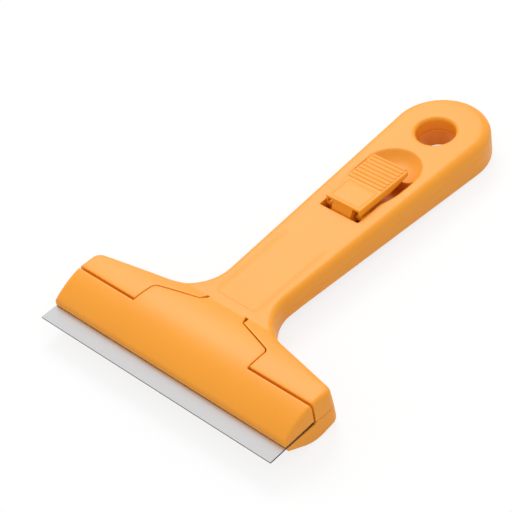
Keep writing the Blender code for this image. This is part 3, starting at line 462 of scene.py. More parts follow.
def relief(name, outline, height, base, lines=(), open_lines=(), holes=(), grid=(), chamfer=None):
    """A closed solid between a shaped face and a base, over a flat outline.

    height(x, y) and base(x, y) give the two faces.  lines and open_lines are drawn into the mesh so
    that edges and grooves keep their shape; grid lists (x values, y values) of inner points.
    chamfer(y) breaks the edge at the foot of the walls.
    """
    loops = [np.array(outline)] + [np.array(hole) for hole in holes]
    wires = [(loop, True) for loop in loops] + [(line, True) for line in lines]
    wires += [(line, False) for line in open_lines]
    points, edges = [], []
    for wire, closed in wires:
        start, count = len(points), len(wire)
        points.extend(map(tuple, wire))
        edges += [(start + i, start + (i + 1) % count) for i in range(count if closed else count - 1)]
    for xs, ys in grid:
        fill = np.array([(x, y) for y in ys for x in xs])
        room = 0.45 * min(abs(xs[1] - xs[0]), abs(ys[1] - ys[0]))
        clear = inside(fill, loops[0])
        for hole in loops[1:]:
            clear &= ~inside(fill, hole)
        for wire, closed in wires:
            clear[clear] &= distance_to(fill[clear], wire, closed) > room
        points.extend(map(tuple, fill[clear]))
    flat, _, faces, *_ = delaunay_2d_cdt([Vector(p) for p in points], edges, [], 0, 1e-6)
    flat = np.array([tuple(p) for p in flat])
    tris = np.array([f for f in faces if len(f) == 3])
    a, b, c = (flat[tris[:, k]] for k in range(3))
    area = (b[:, 0] - a[:, 0]) * (c[:, 1] - a[:, 1]) - (b[:, 1] - a[:, 1]) * (c[:, 0] - a[:, 0])
    tris[area < 0] = tris[area < 0][:, ::-1]
    middle = (a + b + c) / 3
    keep = inside(middle, loops[0]) & (np.abs(area) > 1e-9)
    for hole in loops[1:]:
        keep &= ~inside(middle, hole)
    tris = tris[keep]
    used = np.unique(tris)
    flat = flat[used]
    tris = np.searchsorted(used, tris)
    x, y = flat[:, 0], flat[:, 1]
    shaped = np.stack((x, y, height(x, y)), 1)
    plain = np.stack((x, y, base(x, y)), 1)
    directed = {}
    for tri in tris:
        for i, j in zip(tri, np.roll(tri, -1)):
            directed[(i, j)] = True
    rim = np.array([(i, j) for i, j in directed if (j, i) not in directed])
    count = len(flat)
    faces = [tuple(tri) for tri in tris] + [tuple(tri[::-1] + count) for tri in tris]
    if chamfer is None:
        faces += [(i, i + count, j + count, j) for i, j in rim]
        return add_mesh(name, np.concatenate((shaped, plain)), faces)
    run = flat[rim[:, 1]] - flat[rim[:, 0]]
    left = np.stack((-run[:, 1], run[:, 0]), 1) / np.linalg.norm(run, axis=1)[:, None]
    inward = np.zeros((count, 2))
    np.add.at(inward, rim[:, 0], left)
    np.add.at(inward, rim[:, 1], left)
    edge = np.unique(rim)
    step = inward[edge] / np.maximum(np.sum(inward[edge] ** 2, axis=1), 0.5)[:, None] * 2
    size = chamfer(y[edge])
    foot = plain[edge].copy()
    foot[:, 2] += np.sign(shaped[edge, 2] - foot[:, 2]) * size
    plain[edge, :2] += step * size[:, None]
    ring = dict(zip(edge.tolist(), range(2 * count, 2 * count + len(edge))))
    for i, j in rim.tolist():
        faces += [(i, ring[i], ring[j], j), (ring[i], i + count, j + count, ring[j])]
    return add_mesh(name, np.concatenate((shaped, plain, foot)), faces)


def add_mesh(name, points, faces):
    """An object from tool-space points and faces, with its faces turned outwards."""
    mesh = bpy.data.meshes.new(name)
    mesh.from_pydata(to_frame(points).tolist(), [], [tuple(int(i) for i in face) for face in faces])
    bm = bmesh.new()
    bm.from_mesh(mesh)
    bmesh.ops.recalc_face_normals(bm, faces=bm.faces)
    if bm.calc_volume(signed=True) < 0:
        bmesh.ops.reverse_faces(bm, faces=bm.faces)
    bm.to_mesh(mesh)
    bm.free()
    made = bpy.data.objects.new(name, mesh)
    bpy.context.scene.collection.objects.link(made)
    return made


def block(name, x, y, z):
    """A plain block between two corners; x, y and z are (low, high)."""
    points = [(px, py, pz) for px in x for py in y for pz in z]
    faces = [(0, 1, 3, 2), (4, 6, 7, 5), (0, 4, 5, 1), (2, 3, 7, 6), (0, 2, 6, 4), (1, 5, 7, 3)]
    return add_mesh(name, points, faces)


def side_plate(name, outline, half):
    """Extrude a closed (y, z) outline across the tool, to both sides of the middle."""
    count = len(outline)
    points = [(x, y, z) for x in (-half, half) for y, z in outline]
    faces = [tuple(range(count)), tuple(range(2 * count - 1, count - 1, -1))]
    faces += [(i, count + i, count + (i + 1) % count, (i + 1) % count) for i in range(count)]
    return add_mesh(name, points, faces)


def rod(name, radius, start, end, sides=32):
    """A round bar along x, y or z between two points."""
    start, end = Vector(start), Vector(end)
    turn = (end - start).to_track_quat('Z', 'Y')
    ring = [Vector((radius * math.cos(a), radius * math.sin(a), 0))
            for a in np.linspace(0, 2 * math.pi, sides, endpoint=False)]
    points = [tuple(place + turn @ spoke) for place in (start, end) for spoke in ring]
    faces = [tuple(range(sides)), tuple(range(2 * sides - 1, sides - 1, -1))]
    faces += [(i, (i + 1) % sides, sides + (i + 1) % sides, sides + i) for i in range(sides)]
    return add_mesh(name, points, faces)


def combine(target, tools, operation):
    """Cut or join with each tool, then drop the tools."""
    for tool in tools:
        step = target.modifiers.new(operation, 'BOOLEAN')
        step.operation, step.solver, step.object = operation, 'MANIFOLD', tool
    seen = target.evaluated_get(bpy.context.evaluated_depsgraph_get())
    mesh = bpy.data.meshes.new_from_object(seen)
    target.modifiers.clear()
    old = target.data
    target.data = mesh
    bpy.data.meshes.remove(old)
    for tool in tools:
        bpy.data.objects.remove(tool)


def lean(piece):
    """Moulding draft of the head: its rear wall, and the lower half's ends, lean out downwards."""
    count = len(piece.data.vertices)
    places = np.empty(count * 3)
    piece.data.vertices.foreach_get("co", places)
    points = places.reshape(-1, 3) / MM - ORIGIN
    x, y, z = points.T
    points[:, 0] = x + np.sign(x) * END_LEAN * np.maximum(-z, 0) * (x / REAR_HALF) ** 2
    drop = np.clip(REAR_TOP - z, 0, REAR_TOP)
    rear = ease(y, (20.0, 0.0), (28.0, 1.0)) * ease(np.abs(x), (10.0, 0.0), (20.0, 1.0))
    points[:, 1] = y + REAR_LEAN * drop * rear * ease(y, (44.0, 1.0), (54.0, 0.0))
    piece.data.vertices.foreach_set("co", to_frame(points).ravel())


def finish_piece(piece, material, body, slot, *nodes, sharp=38):
    """Give a piece its finish and its place in the frame."""
    piece.data.materials.clear()
    piece.data.materials.append(material)
    piece.data.shade_smooth()
    piece.data.set_sharp_from_angle(angle=math.radians(sharp))
    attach(piece, body)
    if nodes:
        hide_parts(*nodes)
    return piece


def cover_line(rear, side, bridge, notch):
    """Right half of the cover's rear edge, from the end of the head to the middle."""
    inner = (TAB_FRONT_HALF + side, rear)
    tab = (TAB_REAR_HALF + side, TAB_REAR_Y + side)
    slant = (SLANT_HALF + side, SLANT_Y + side)
    middle = (BRIDGE_HALF + notch, TAIL_START + bridge)
    line = [(head_half(rear) - DRAFT, rear), inner]
    line += fillet(inner, tab, slant, TAB_RADIUS + side, 8) + [slant, middle, (0, middle[1])]
    return line


TAIL_START = CREST_Y + math.sqrt((CREST_Z - HANDLE_TOP) * (2 * BARREL_REAR - CREST_Z + HANDLE_TOP))


def seam_drop(places, seam):
    """Rounded lip along the cover's gap; the bridge to the handle stays crisp."""
    drops = [rounded(distance_to(places, seam[side * seam[:, 0] > BRIDGE_HALF], closed=False), GAP_ROUND)
             for side in (-1, 1)]
    return np.maximum(*drops)


def blade_cover(material):
    """Rocking cover: barrel-shaped wings and tab, a clamping lip in front and a tail behind."""
    front = [tuple(p) for p in SKIN if p[1] < COVER_REAR_Y - 0.05]
    start = max(range(len(front)), key=lambda i: (front[i][0] > 0) * front[i][1])
    right = cover_line(COVER_REAR_Y, 0, 0, 0)
    seam = np.array(divided(right + [(-x, y) for x, y in reversed(right[:-1])], 1.2, closed=False))
    outline = front[start + 1:] + front[:start + 1] + list(map(tuple, seam))
    rings = edge_rings(top_round)
    lips = [offset(seam, GAP_ROUND * (1 - math.cos(turn)), closed=False) for turn in TURNS[2::2]]

    def height(x, y):
        places = np.stack((x, y), 1)
        z = top_height(np.minimum(y, TAIL_START - 0.4)) - rounded(distance_to(places, SKIN), top_round(y))
        return z - seam_drop(places, seam)

    def base(x, y):
        return COVER_BASE + COVER_LIFT * np.clip((y - FRONT_Y - 2) / 10, 0, 1)

    made = relief("blade_cover_shell", outline, height, base, lines=rings,
                  open_lines=lips, grid=[(np.arange(-49, 49.1, 1.4), np.arange(7.2, 36, 0.7))],
                  chamfer=lambda y: 0 * y + 0.1)
    hollow_front = FRONT_Y + CLAMP_LIP
    end = head_half(hollow_front) - COVER_WALL
    half = [(0, hollow_front), (end, hollow_front), (end, COVER_REAR_Y - COVER_WALL),
            (TAB_FRONT_HALF - COVER_WALL, COVER_REAR_Y - COVER_WALL),
            (TAB_REAR_HALF - COVER_WALL, TAB_REAR_Y - COVER_WALL / 2),
            (BRIDGE_HALF, TAIL_START - COVER_WALL), (0, TAIL_START - COVER_WALL)]
    hollow = relief("cover_hollow", divided(mirrored(half), 2.5),
                    lambda x, y: top_height(y) - COVER_WALL, lambda x, y: 0 * x - 5,
                    grid=[(np.arange(-46, 46, 6.0), np.arange(8, 34, 1.5))])
    combine(made, [hollow], 'DIFFERENCE')
    tail = block("cover_tail", (-TAIL_HALF, TAIL_HALF), (TAIL_START - COVER_WALL / 2, TAIL_END_Y),
                 (TAIL_LOW, TAIL_HIGH))
    lugs = [rod(f"cover_lug_{x}", LUG_RADIUS, (x - LUG_HALF, HINGE_Y, HINGE_Z),
                (x + LUG_HALF, HINGE_Y, HINGE_Z)) for x in (-LUG_X, LUG_X)]
    combine(made, [tail] + lugs, 'UNION')
    return finish_piece(made, material, "cover", "orange_plastic", "blade_cover")


def panel_path():
    """Fine engraved line round the grip panel in front of the lever."""
    front, corner, tip = (0, PANEL_FRONT), (PANEL_HALF, PANEL_FRONT), (PANEL_HALF, PANEL_REAR)
    half = [front] + fillet(front, corner, tip, 2.2, 10) + [tip]
    return divided([(-x, y) for x, y in reversed(half[1:])] + half, 1.0, closed=False)


PANEL = panel_path()


def scoop_height(x, y):
    """Dish for the fingertip under the lever's rear end; it opens into the slot."""
    along = np.maximum(y - SCOOP_REAR, 0) - np.maximum(SCOOP_FRONT - y, 0) * SCOOP_HALF / SCOOP_SPREAD
    reach = np.hypot(x, along) / SCOOP_HALF
    return HANDLE_TOP - SCOOP_DEPTH * (1 - reach ** 3.6)


def upper_height(x, y):
    """Top of the upper half, with its rounded rims, finger scoop and engraved line."""
    places = np.stack((x, y), 1)
    z = top_height(y) - rounded(distance_to(places, SKIN), top_round(y))
    dish = np.where((y > 85) & (y < 127), scoop_height(x, y), 50.0)
    soft = 0.25
    z = np.where(np.abs(z - dish) < 6, (z + dish - np.sqrt((z - dish) ** 2 + soft ** 2)) / 2, z)
    hole = np.hypot(x, y - HOLE_Y) - HOLE_RADIUS
    z = z - rounded(np.maximum(hole, 0), HOLE_TOP_ROUND)
    slot = distance_to(places, SLOT, closed=True)
    z = z - rounded(slot, SLOT_ROUND)
    z = z - seam_drop(places, np.array(SEAM_HOUSING))
    groove = np.clip(1 - distance_to(places, PANEL, closed=False) / PANEL_WIDTH, 0, 1)
    return z - PANEL_DEPTH * groove * ease(y, (68.0, 1.0), (PANEL_REAR, 0.0))


def slot_path():
    """Slot with straight sides in front, which bulge to the width of the scoop beside the ribs."""
    half = [(0, SLOT_FRONT), (SLOT_HALF, SLOT_FRONT)]
    for y in np.arange(98.0, SCOOP_FRONT, 1.0):
        across = (SCOOP_HALF - 0.1) * math.sqrt(1 - ((SCOOP_FRONT - y) / SCOOP_SPREAD) ** 2)
        if across > SLOT_HALF:
            half.append((across, float(y)))
    return divided(mirrored(half + [(SCOOP_HALF - 0.1, SLOT_REAR), (0, SLOT_REAR)]), 0.9)


SLOT = slot_path()
SEAM_RIGHT = cover_line(SHOULDER_Y, SIDE_GAP, BRIDGE_GAP, NOTCH_FLARE)
SEAM_HOUSING = divided([(-x, y) for x, y in SEAM_RIGHT[:-1]] + SEAM_RIGHT[::-1], 1.2, closed=False)


def seam_chamfer(y):
    """Broken edge of the two halves at the parting line, plainer along the handle."""
    return ease(y, (30.0, 0.14), (46.0, 0.04))


def hole_ring(radius, steps=64):
    """A circle round the hanging hole."""
    return arc((0, HOLE_Y), radius, 0, 360, steps)[:-1]


def upper_housing(material):
    """Upper half: shoulders, neck and the handle's top with its slot, scoop and hanging hole."""
    rear = [tuple(p) for p in SKIN if p[1] > SHOULDER_Y + 0.05]
    start = min(range(len(rear)), key=lambda i: rear[i][1] if rear[i][0] > 0 else FAR)
    outline = rear[start:] + rear[:start] + SEAM_HOUSING
    rings = edge_rings(top_round)
    rings += [hole_ring(HOLE_RADIUS + HOLE_TOP_ROUND * (1 - math.cos(turn))) for turn in TURNS[1:]]
    rings += [offset(SLOT, -SLOT_ROUND * (1 - math.cos(turn))) for turn in TURNS[2::2]]
    lips = [offset(SEAM_HOUSING, GAP_ROUND * (1 - math.cos(turn)), closed=False) for turn in TURNS[2::2]]
    lips += [offset(PANEL, side, closed=False) for side in (-PANEL_WIDTH, 0, PANEL_WIDTH)]
    lips.append([(x, TAIL_START + 0.25) for x in np.arange(-16, 16.1, 1.0)])
    grid = [(np.arange(-50, 50.1, 1.4), np.arange(19.5, 40, 0.7)),
            (np.arange(-16, 16.1, 1.6), np.arange(40, 88, 1.6)),
            (np.arange(-13.4, 13.5, 0.45), np.arange(88.1, 127, 0.45)),
            (np.arange(-16, 16.1, 1.4), np.arange(127.5, 156, 1.4))]
    made = relief("upper_housing_shell", outline, upper_height, lambda x, y: 0 * x + PARTING_GAP,
                  lines=rings, open_lines=lips, holes=[hole_ring(HOLE_RADIUS), SLOT], grid=grid,
                  chamfer=seam_chamfer)
    inner, outer = KNUCKLE_HALF + 0.12, SLOT_HALF + 1.2
    bearings = [block(f"pin_bearing_{side}", sorted((side * inner, side * outer)),
                      (PIVOT_Y, PIVOT_Y + 3.0), (0.3, LEDGE_TOP - 0.07)) for side in (-1, 1)]
    bearings += [rod(f"pin_sleeve_{side}", LEDGE_TOP - PIVOT_Z, (side * inner, PIVOT_Y, PIVOT_Z),
                     (side * outer, PIVOT_Y, PIVOT_Z)) for side in (-1, 1)]
    combine(made, bearings, 'UNION')
    window = block("tail_window", (-TAIL_HALF - 0.6, TAIL_HALF + 0.6),
                   (TAIL_START - 3, TAIL_END_Y + 2.2), (-5, TAIL_HIGH + 0.3))
    channel = block("bar_channel", (-BAR_HALF - 0.3, BAR_HALF + 0.3), (TAIL_END_Y - 5, 100.1), (-5, 0.7))
    slots = [block(f"pin_slot_{side}", sorted(side * x for x in HINGE_SLOT[0]), *HINGE_SLOT[1:])
             for side in (-1, 1)]
    combine(made, [window, channel] + slots, 'DIFFERENCE')
    lean(made)
    return finish_piece(made, material, "root", "orange_plastic", "upper_housing")


def screw_ring(x, y, radius, steps=32):
    """A circle round one screw hole."""
    return arc((x, y), radius, 0, 360, steps)[:-1]


def lower_height(x, y):
    """Underside with its rounded edges and the soft rims of its holes."""
    places = np.stack((x, y), 1)
    z = under_height(y) + rounded(distance_to(places, SKIN), under_round(y))
    z = z + rounded(np.maximum(np.hypot(x, y - HOLE_Y) - HOLE_THROAT, 0), HOLE_UNDER_ROUND)
    for sx, sy in SCREW_PLACES:
        z = z + rounded(np.maximum(np.hypot(x - sx, y - sy) - SCREW_HOLE, 0), SCREW_ROUND)
    return z


def lower_housing(material):
    """Lower half: the jaw that the blade lies on, the belly and the handle's underside."""
    rings = edge_rings(under_round)
    rings += [hole_ring(HOLE_THROAT + HOLE_UNDER_ROUND * (1 - math.cos(turn))) for turn in TURNS[1:]]
    for x, y in SCREW_PLACES:
        rings += [screw_ring(x, y, SCREW_HOLE + SCREW_ROUND * (1 - math.cos(turn)))
                  for turn in TURNS[2::2]]
    holes = [hole_ring(HOLE_THROAT)]
    grid = [(np.arange(-50, 50.1, 1.6), np.arange(6.5, 48, 0.9)),
            (np.arange(-16, 16.1, 2.0), np.arange(48.2, 156, 2.0))]
    made = relief("lower_housing_shell", SKIN, lower_height, lambda x, y: 0 * x - PARTING_GAP, lines=rings,
                  holes=holes, grid=grid, chamfer=seam_chamfer)
    bed = block("blade_bed", (-FAR, FAR), (-5, BLADE_DEPTH + 0.3), (JAW_TOP, 5))
    lip = block("jaw_lip", (-FAR, FAR), (-5, FRONT_Y + JAW_SETBACK), (-5, 5))
    trough = block("bar_trough", (-BAR_HALF - 0.3, BAR_HALF + 0.3), (30, SLOT_REAR), (TROUGH_FLOOR, 5))
    wells = [rod(f"spring_well_{x}", WELL_RADIUS, (x, SPRING_Y, WELL_FLOOR), (x, SPRING_Y, 5))
             for x in (-SPRING_X, SPRING_X)]
    bores = [rod(f"screw_bore_{i}", SCREW_HOLE, (x, y, -12), (x, y, SCREW_SEAT))
             for i, (x, y) in enumerate(SCREW_PLACES)]
    combine(made, [bed, lip, trough] + wells + bores, 'DIFFERENCE')
    pegs = [rod(f"blade_peg_{x}", PEG_RADIUS, (x, PEG_Y, -PEG_HALF), (x, PEG_Y, PEG_HALF))
            for x in (-NOTCH_X, NOTCH_X)]
    combine(made, pegs, 'UNION')
    lean(made)
    return finish_piece(made, material, "root", "orange_plastic", "lower_housing")


def lever_top(y):
    """Height of the lever's upper face, which falls a little to the rear."""
    return LEVER_FRONT_Z + (LEVER_REAR_Z - LEVER_FRONT_Z) * (y - LEVER_FRONT) / (LEVER_REAR - LEVER_FRONT)


LEVER_HALF_OUTLINE = [(0, LEVER_FRONT)]
LEVER_HALF_OUTLINE += fillet((0, LEVER_FRONT), (LEVER_HALF, LEVER_FRONT), (LEVER_HALF, LEVER_REAR), 0.4, 4)
LEVER_HALF_OUTLINE += fillet((LEVER_HALF, LEVER_FRONT), (LEVER_HALF, LEVER_REAR), (0, LEVER_REAR), 1.3, 6)
LEVER_HALF_OUTLINE += [(0, LEVER_REAR)]
LEVER_OUTLINE = [(x - LEVER_FLARE * ease(y, (96.0, 0.0), (103.0, 1.0)) * (x < -1), y)
                 for x, y in divided(mirrored(LEVER_HALF_OUTLINE), 0.8)]
FRAME_CORNERS = [(0, FRAME_FRONT), (FRAME_HALF, FRAME_FRONT), (FRAME_HALF, FRAME_REAR), (0, FRAME_REAR)]
FRAME_HALF_LINE = [FRAME_CORNERS[0]] + fillet(*FRAME_CORNERS[:3], 0.5, 4)
FRAME_HALF_LINE += fillet(*FRAME_CORNERS[1:], 0.5, 4) + [FRAME_CORNERS[3]]
FRAME_LINE = divided(mirrored(FRAME_HALF_LINE), 0.8)


def rib_comb(material):
    """Cross ribs under the thumb, repeated by a small node tree."""
    tree = bpy.data.node_groups.new("thumb_ribs", 'GeometryNodeTree')
    face = tree.interface
    face.new_socket("Geometry", in_out='OUTPUT', socket_type='NodeSocketGeometry')
    inputs = {"Count": ('NodeSocketInt', RIB_COUNT), "Pitch": ('NodeSocketFloat', RIB_PITCH * MM),
              "Fall": ('NodeSocketFloat', RIB_PITCH * MM * (LEVER_REAR_Z - LEVER_FRONT_Z)
                       / (LEVER_REAR - LEVER_FRONT)),
              "Half Width": ('NodeSocketFloat', RIB_HALF * MM),
              "Radius": ('NodeSocketFloat', RIB_RADIUS * MM)}
    sockets = {name: face.new_socket(name, in_out='INPUT', socket_type=kind)
               for name, (kind, _) in inputs.items()}
    ends = node(tree, "NodeGroupInput").outputs
    step = node(tree, "ShaderNodeCombineXYZ", {"Y": ends["Pitch"], "Z": ends["Fall"]})
    row = node(tree, "GeometryNodeMeshLine", {"Count": ends["Count"], "Offset": step.outputs[0]})
    minus = node(tree, "ShaderNodeMath", {0: ends["Half Width"]}, operation='MULTIPLY')
    minus.inputs[1].default_value = -1
    left = node(tree, "ShaderNodeCombineXYZ", {"X": minus.outputs[0]})
    right = node(tree, "ShaderNodeCombineXYZ", {"X": ends["Half Width"]})
    spine = node(tree, "GeometryNodeCurvePrimitiveLine",
                 {"Start": left.outputs[0], "End": right.outputs[0]})
    ring = node(tree, "GeometryNodeCurvePrimitiveCircle", {"Radius": ends["Radius"]}, Resolution=16)
    bar = node(tree, "GeometryNodeCurveToMesh",
               {"Curve": spine.outputs[0], "Profile Curve": ring.outputs[0]})
    bar.inputs["Fill Caps"].default_value = True
    placed = node(tree, "GeometryNodeInstanceOnPoints",
                  {"Points": row.outputs[0], "Instance": bar.outputs[0]})
    real = node(tree, "GeometryNodeRealizeInstances", {"Geometry": placed.outputs[0]})
    dressed = node(tree, "GeometryNodeSetMaterial", {"Geometry": real.outputs[0]})
    dressed.inputs["Material"].default_value = material
    node(tree, "NodeGroupOutput", {"Geometry": dressed.outputs[0]})
    carrier = bpy.data.objects.new("thumb_ribs", bpy.data.meshes.new("thumb_ribs"))
    bpy.context.scene.collection.objects.link(carrier)
    modifier = carrier.modifiers.new("ribs", 'NODES')
    modifier.node_group = tree
    for name, (_, value) in inputs.items():
        modifier[sockets[name].identifier] = value
    seen = carrier.evaluated_get(bpy.context.evaluated_depsgraph_get())
    mesh = bpy.data.meshes.new_from_object(seen)
    carrier.modifiers.clear()
    first = RIB_REAR - (RIB_COUNT - 1) * RIB_PITCH
    start = to_frame((RIB_SHIFT, first, lever_top(first) + RIB_RISE - RIB_RADIUS))
    mesh.transform(Matrix.Translation(start))
    carrier.data = mesh
    return carrier


def lock_lever(material):
    """Thumb lever: a plate with an engraved frame, a round knuckle on the pin and a crank below."""
    def height(x, y):
        places = np.stack((x, y), 1)
        z = lever_top(y) - rounded(distance_to(places, LEVER_OUTLINE), LEVER_ROUND)
        return z - FRAME_DEPTH * np.clip(1 - distance_to(places, FRAME_LINE) / FRAME_WIDTH, 0, 1)

    rings = [offset(LEVER_OUTLINE, LEVER_ROUND * (1 - math.cos(turn))) for turn in TURNS[2::2]]
    rings += [offset(FRAME_LINE, side) for side in (-FRAME_WIDTH, 0, FRAME_WIDTH)]

    def base(x, y):
        thick = LEVER_THICK + (LEVER_TIP - LEVER_THICK) * np.clip((y - 105) / (LEVER_REAR - 105), 0, 1)
        return lever_top(y) - thick

    made = relief("lock_lever_body", LEVER_OUTLINE, height, base, lines=rings,
                  grid=[(np.arange(-6.5, 6.6, 1.3), np.arange(90.5, 114, 1.3))],
                  chamfer=lambda y: 0 * y + 0.12)
    axis = (PIVOT_Y, PIVOT_Z)
    nose = arc(axis, KNUCKLE_RADIUS, 150, 180, 8)
    knuckle = [(LEVER_FRONT + 0.25, LEVER_FRONT_Z - 0.45)] + nose + arc(axis, HUB_RADIUS, 200, 350, 24)
    knuckle.append((PIVOT_Y + 2 * KNUCKLE_RADIUS, LEVER_FRONT_Z - LEVER_THICK + 0.5))
    tip = (PIVOT_Y, PIVOT_Z - CRANK)
    crank = arc(tip, CRANK_TIP, 157, 383, 20) + [(PIVOT_Y + 1.2, PIVOT_Z), (PIVOT_Y - 1.2, PIVOT_Z)]
    hub = side_plate("lever_hub", knuckle, KNUCKLE_HALF)
    arm = side_plate("lever_arm", crank, CRANK_HALF)
    combine(made, [hub, arm], 'UNION')
    hollows = [block(f"lever_hollow_{side}", sorted((side * KNUCKLE_HALF, side * (LEVER_HALF - 0.9))),
                     (LEVER_FRONT - 2, 101.0), (-5, LEVER_FRONT_Z - LEVER_SKIN)) for side in (-1, 1)]
    bore = rod("lever_bore", PIN_RADIUS + 0.3, (-FAR, *axis), (FAR, *axis))
    combine(made, hollows + [bore], 'DIFFERENCE')
    finish_piece(made, material, "lever", "orange_plastic", "lock_lever")
    ribs = rib_comb(material)
    finish_piece(ribs, material, "lever", "orange_plastic")
    return made


def blade(face, edge):
    """Flat blade with a ground front edge and two notches open to the rear."""
    half = [(0, 0), (BLADE_HALF, 0), (BLADE_HALF, BLADE_DEPTH)]
    inner = NOTCH_X - NOTCH_WIDTH / 2
    outer = NOTCH_X + NOTCH_WIDTH / 2
    end = BLADE_DEPTH - NOTCH_DEPTH + NOTCH_WIDTH / 2
    half += [(outer, BLADE_DEPTH)] + arc((NOTCH_X, end), NOTCH_WIDTH / 2, 0, -180, 24)
    half += [(inner, BLADE_DEPTH), (0, BLADE_DEPTH)]
    thick = BLADE_THICK / 2

    def base(x, y):
        return -thick + (BLADE_THICK - EDGE_HEIGHT) * np.clip(1 - y / GRIND_DEPTH, 0, 1)

    grind = [(x, GRIND_DEPTH) for x in np.linspace(-BLADE_HALF, BLADE_HALF, 30)]
    made = relief("scraper_blade", divided(mirrored(half), 4), lambda x, y: 0 * x + thick, base,
                  open_lines=[grind])
    finish_piece(made, face, "blade", "blade_steel", "blade", sharp=20)
    # The blade's upright sides take the second finish, a darker steel that paints in a dark reflection.
    made.data.materials.append(edge)
    for polygon in made.data.polygons:
        if abs(polygon.normal.z) < 0.5:
            polygon.material_index = 1
    return made


def redress(names, material):
    """Give carried-over nodes a finish of their own."""
    for name in names:
        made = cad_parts[name]
        made.data.materials.clear()
        made.data.materials.append(material)


def camera():
    """The photograph's viewpoint, fitted to the tool's straight edges."""
    azimuth, elevation, roll = (math.radians(a) for a in (50.52, 42.68, -10.74))
    aim = np.array((0, 70, 5))
    shift_x, shift_y, away = -14.78, -3.99, 552.1
    focal_px, sensor = 1733.36, 36.0
    back = np.array((math.sin(azimuth) * math.cos(elevation), -math.cos(azimuth) * math.cos(elevation),
                     math.sin(elevation)))
    right = np.array((math.cos(azimuth), math.sin(azimuth), 0))
    up = np.cross(back, right)
    across = math.cos(roll) * right + math.sin(roll) * up
    rise = -math.sin(roll) * right + math.cos(roll) * up
    eye = to_frame(aim + shift_x * across + shift_y * rise + away * back)
    data = bpy.data.cameras.new("camera")
    data.sensor_width = sensor
    data.lens = focal_px / 512 * sensor
    made = bpy.data.objects.new("camera", data)
    bpy.context.scene.collection.objects.link(made)
    turn = Matrix((across, rise, back)).transposed()
    made.matrix_world = Matrix.Translation(Vector(eye)) @ turn.to_4x4()
    bpy.context.scene.camera = made


def area_light(name, place, size, power):
    """A soft box that faces the object; place is in metres."""
    data = bpy.data.lights.new(name, 'AREA')
    data.shape = 'DISK'
    data.size = size
    data.energy = power
    made = bpy.data.objects.new(name, data)
    bpy.context.scene.collection.objects.link(made)
    made.location = place
    made.rotation_euler = (-Vector(place)).to_track_quat('-Z', 'Y').to_euler()
    return made


def flag(lamp, piece):
    """Keep a lamp off a piece, as a photographer's flag does: bare steel would mirror a white blot."""
    shaded = bpy.data.collections.new("flagged")
    shaded.objects.link(piece)
    shaded.collection_objects[0].light_linking.link_state = 'EXCLUDE'
    lamp.light_linking.receiver_collection = shaded


def backdrop_rays(tree):
    """One for the rays that should meet a white background: camera, glossy and transmission rays."""
    path = node(tree, "ShaderNodeLightPath")
    shiny = node(tree, "ShaderNodeMath",
                 {0: path.outputs["Is Camera Ray"], 1: path.outputs["Is Glossy Ray"]}, operation='MAXIMUM')
    return node(tree, "ShaderNodeMath", {0: shiny.outputs[0], 1: path.outputs["Is Transmission Ray"]},
                operation='MAXIMUM').outputs[0]


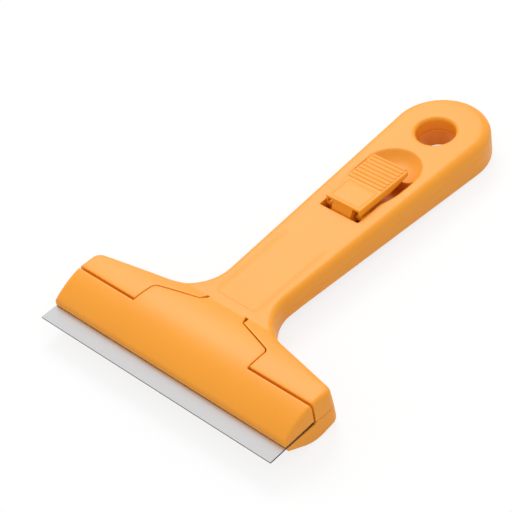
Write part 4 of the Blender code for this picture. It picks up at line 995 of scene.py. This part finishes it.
def studio():
    """Pale floor, an even white surround and one soft box behind; returns the box."""
    bpy.context.scene.view_settings.view_transform = 'Standard'
    world = bpy.data.worlds.new("surround")
    bpy.context.scene.world = world
    world.use_nodes = True
    tree = world.node_tree
    soft = tree.nodes["Background"]
    soft.inputs["Color"].default_value = (1, 1, 1, 1)
    soft.inputs["Strength"].default_value = WORLD_LIGHT
    seen = node(tree, "ShaderNodeBackground", Color=(1, 1, 1, 1), Strength=1.0)
    picked = node(tree, "ShaderNodeMixShader",
                  {0: backdrop_rays(tree), 1: soft.outputs[0], 2: seen.outputs[0]})
    tree.links.new(picked.outputs[0], tree.nodes["World Output"].inputs["Surface"])
    floor = add_mesh("floor", np.array([(-4, -4, 0), (4, -4, 0), (4, 4, 0), (-4, 4, 0)]) / MM
                     + (0, 0, REST_Z - 0.1), [(0, 1, 2, 3)])
    paper = bpy.data.materials.new("white_paper_floor")
    paper.use_nodes = True
    tree = paper.node_tree
    tree.nodes.remove(tree.nodes["Principled BSDF"])
    grey = node(tree, "ShaderNodeBsdfDiffuse", Color=(0.68, 0.68, 0.68, 1))
    white = node(tree, "ShaderNodeBsdfDiffuse", Color=(0.94, 0.94, 0.94, 1))
    glow = node(tree, "ShaderNodeEmission", Color=(1, 1, 1, 1), Strength=1.0)
    sheet = node(tree, "ShaderNodeMixShader", {1: white.outputs[0], 2: glow.outputs[0]})
    sheet.inputs[0].default_value = 0.8
    picked = node(tree, "ShaderNodeMixShader",
                  {0: backdrop_rays(tree), 1: grey.outputs[0], 2: sheet.outputs[0]})
    tree.links.new(picked.outputs[0], tree.nodes["Material Output"].inputs["Surface"])
    floor.data.materials.append(paper)
    return area_light("soft_box", (-0.50, 0.45, 0.74), 0.5, KEY_LIGHT)


# Satin mouldings: warm yellow-orange that pales in a broad sheen where a top mirrors the soft box
orange = plastic("moulded_abs_satin_orange", "#F8A11C", "#F39A18", 0.44, 0.35, 0.02)
# Blade face: an even light grey, with rolling lines along the edge
steel_face = steel("cold_rolled_blade_steel", "#DCDCDD", 0.4, 0.5, across=(0.06, 1, 1))
# Cut sides of the blade: a darker steel that paints in a dark reflection along them, the dark hairline all
# round it
steel_edge_painted_dark = steel("blade_edge_painted_dark_reflection", "#4A4648", 0.4, 0.3)
# Screws, springs and pins: small cool glints deep in their holes
zinc = steel("zinc_plated_steel", "#C9CBD0", 0.3, 0.8)
# Clamp bar: the same orange with painted shade, made duller and redder than the outside to stand for the
# shade inside the slot
shade_painted_orange = plastic("moulded_abs_orange_painted_shade", "#E8842A", "#DD7A22", 0.5, 0.35, 0.02)

camera()
soft_box = studio()
blade_cover(orange)
upper_housing(orange)
lower_housing(orange)
lock_lever(orange)
flag(soft_box, blade(steel_face, steel_edge_painted_dark))
# The clamp bar takes the orange with painted shade.
redress(["clamp_bar"], shade_painted_orange)
SMALL_STEEL = ("screw_", "cover_spring", "cover_hinge", "lever_pin")
redress([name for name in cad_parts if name.startswith(SMALL_STEEL)], zinc)
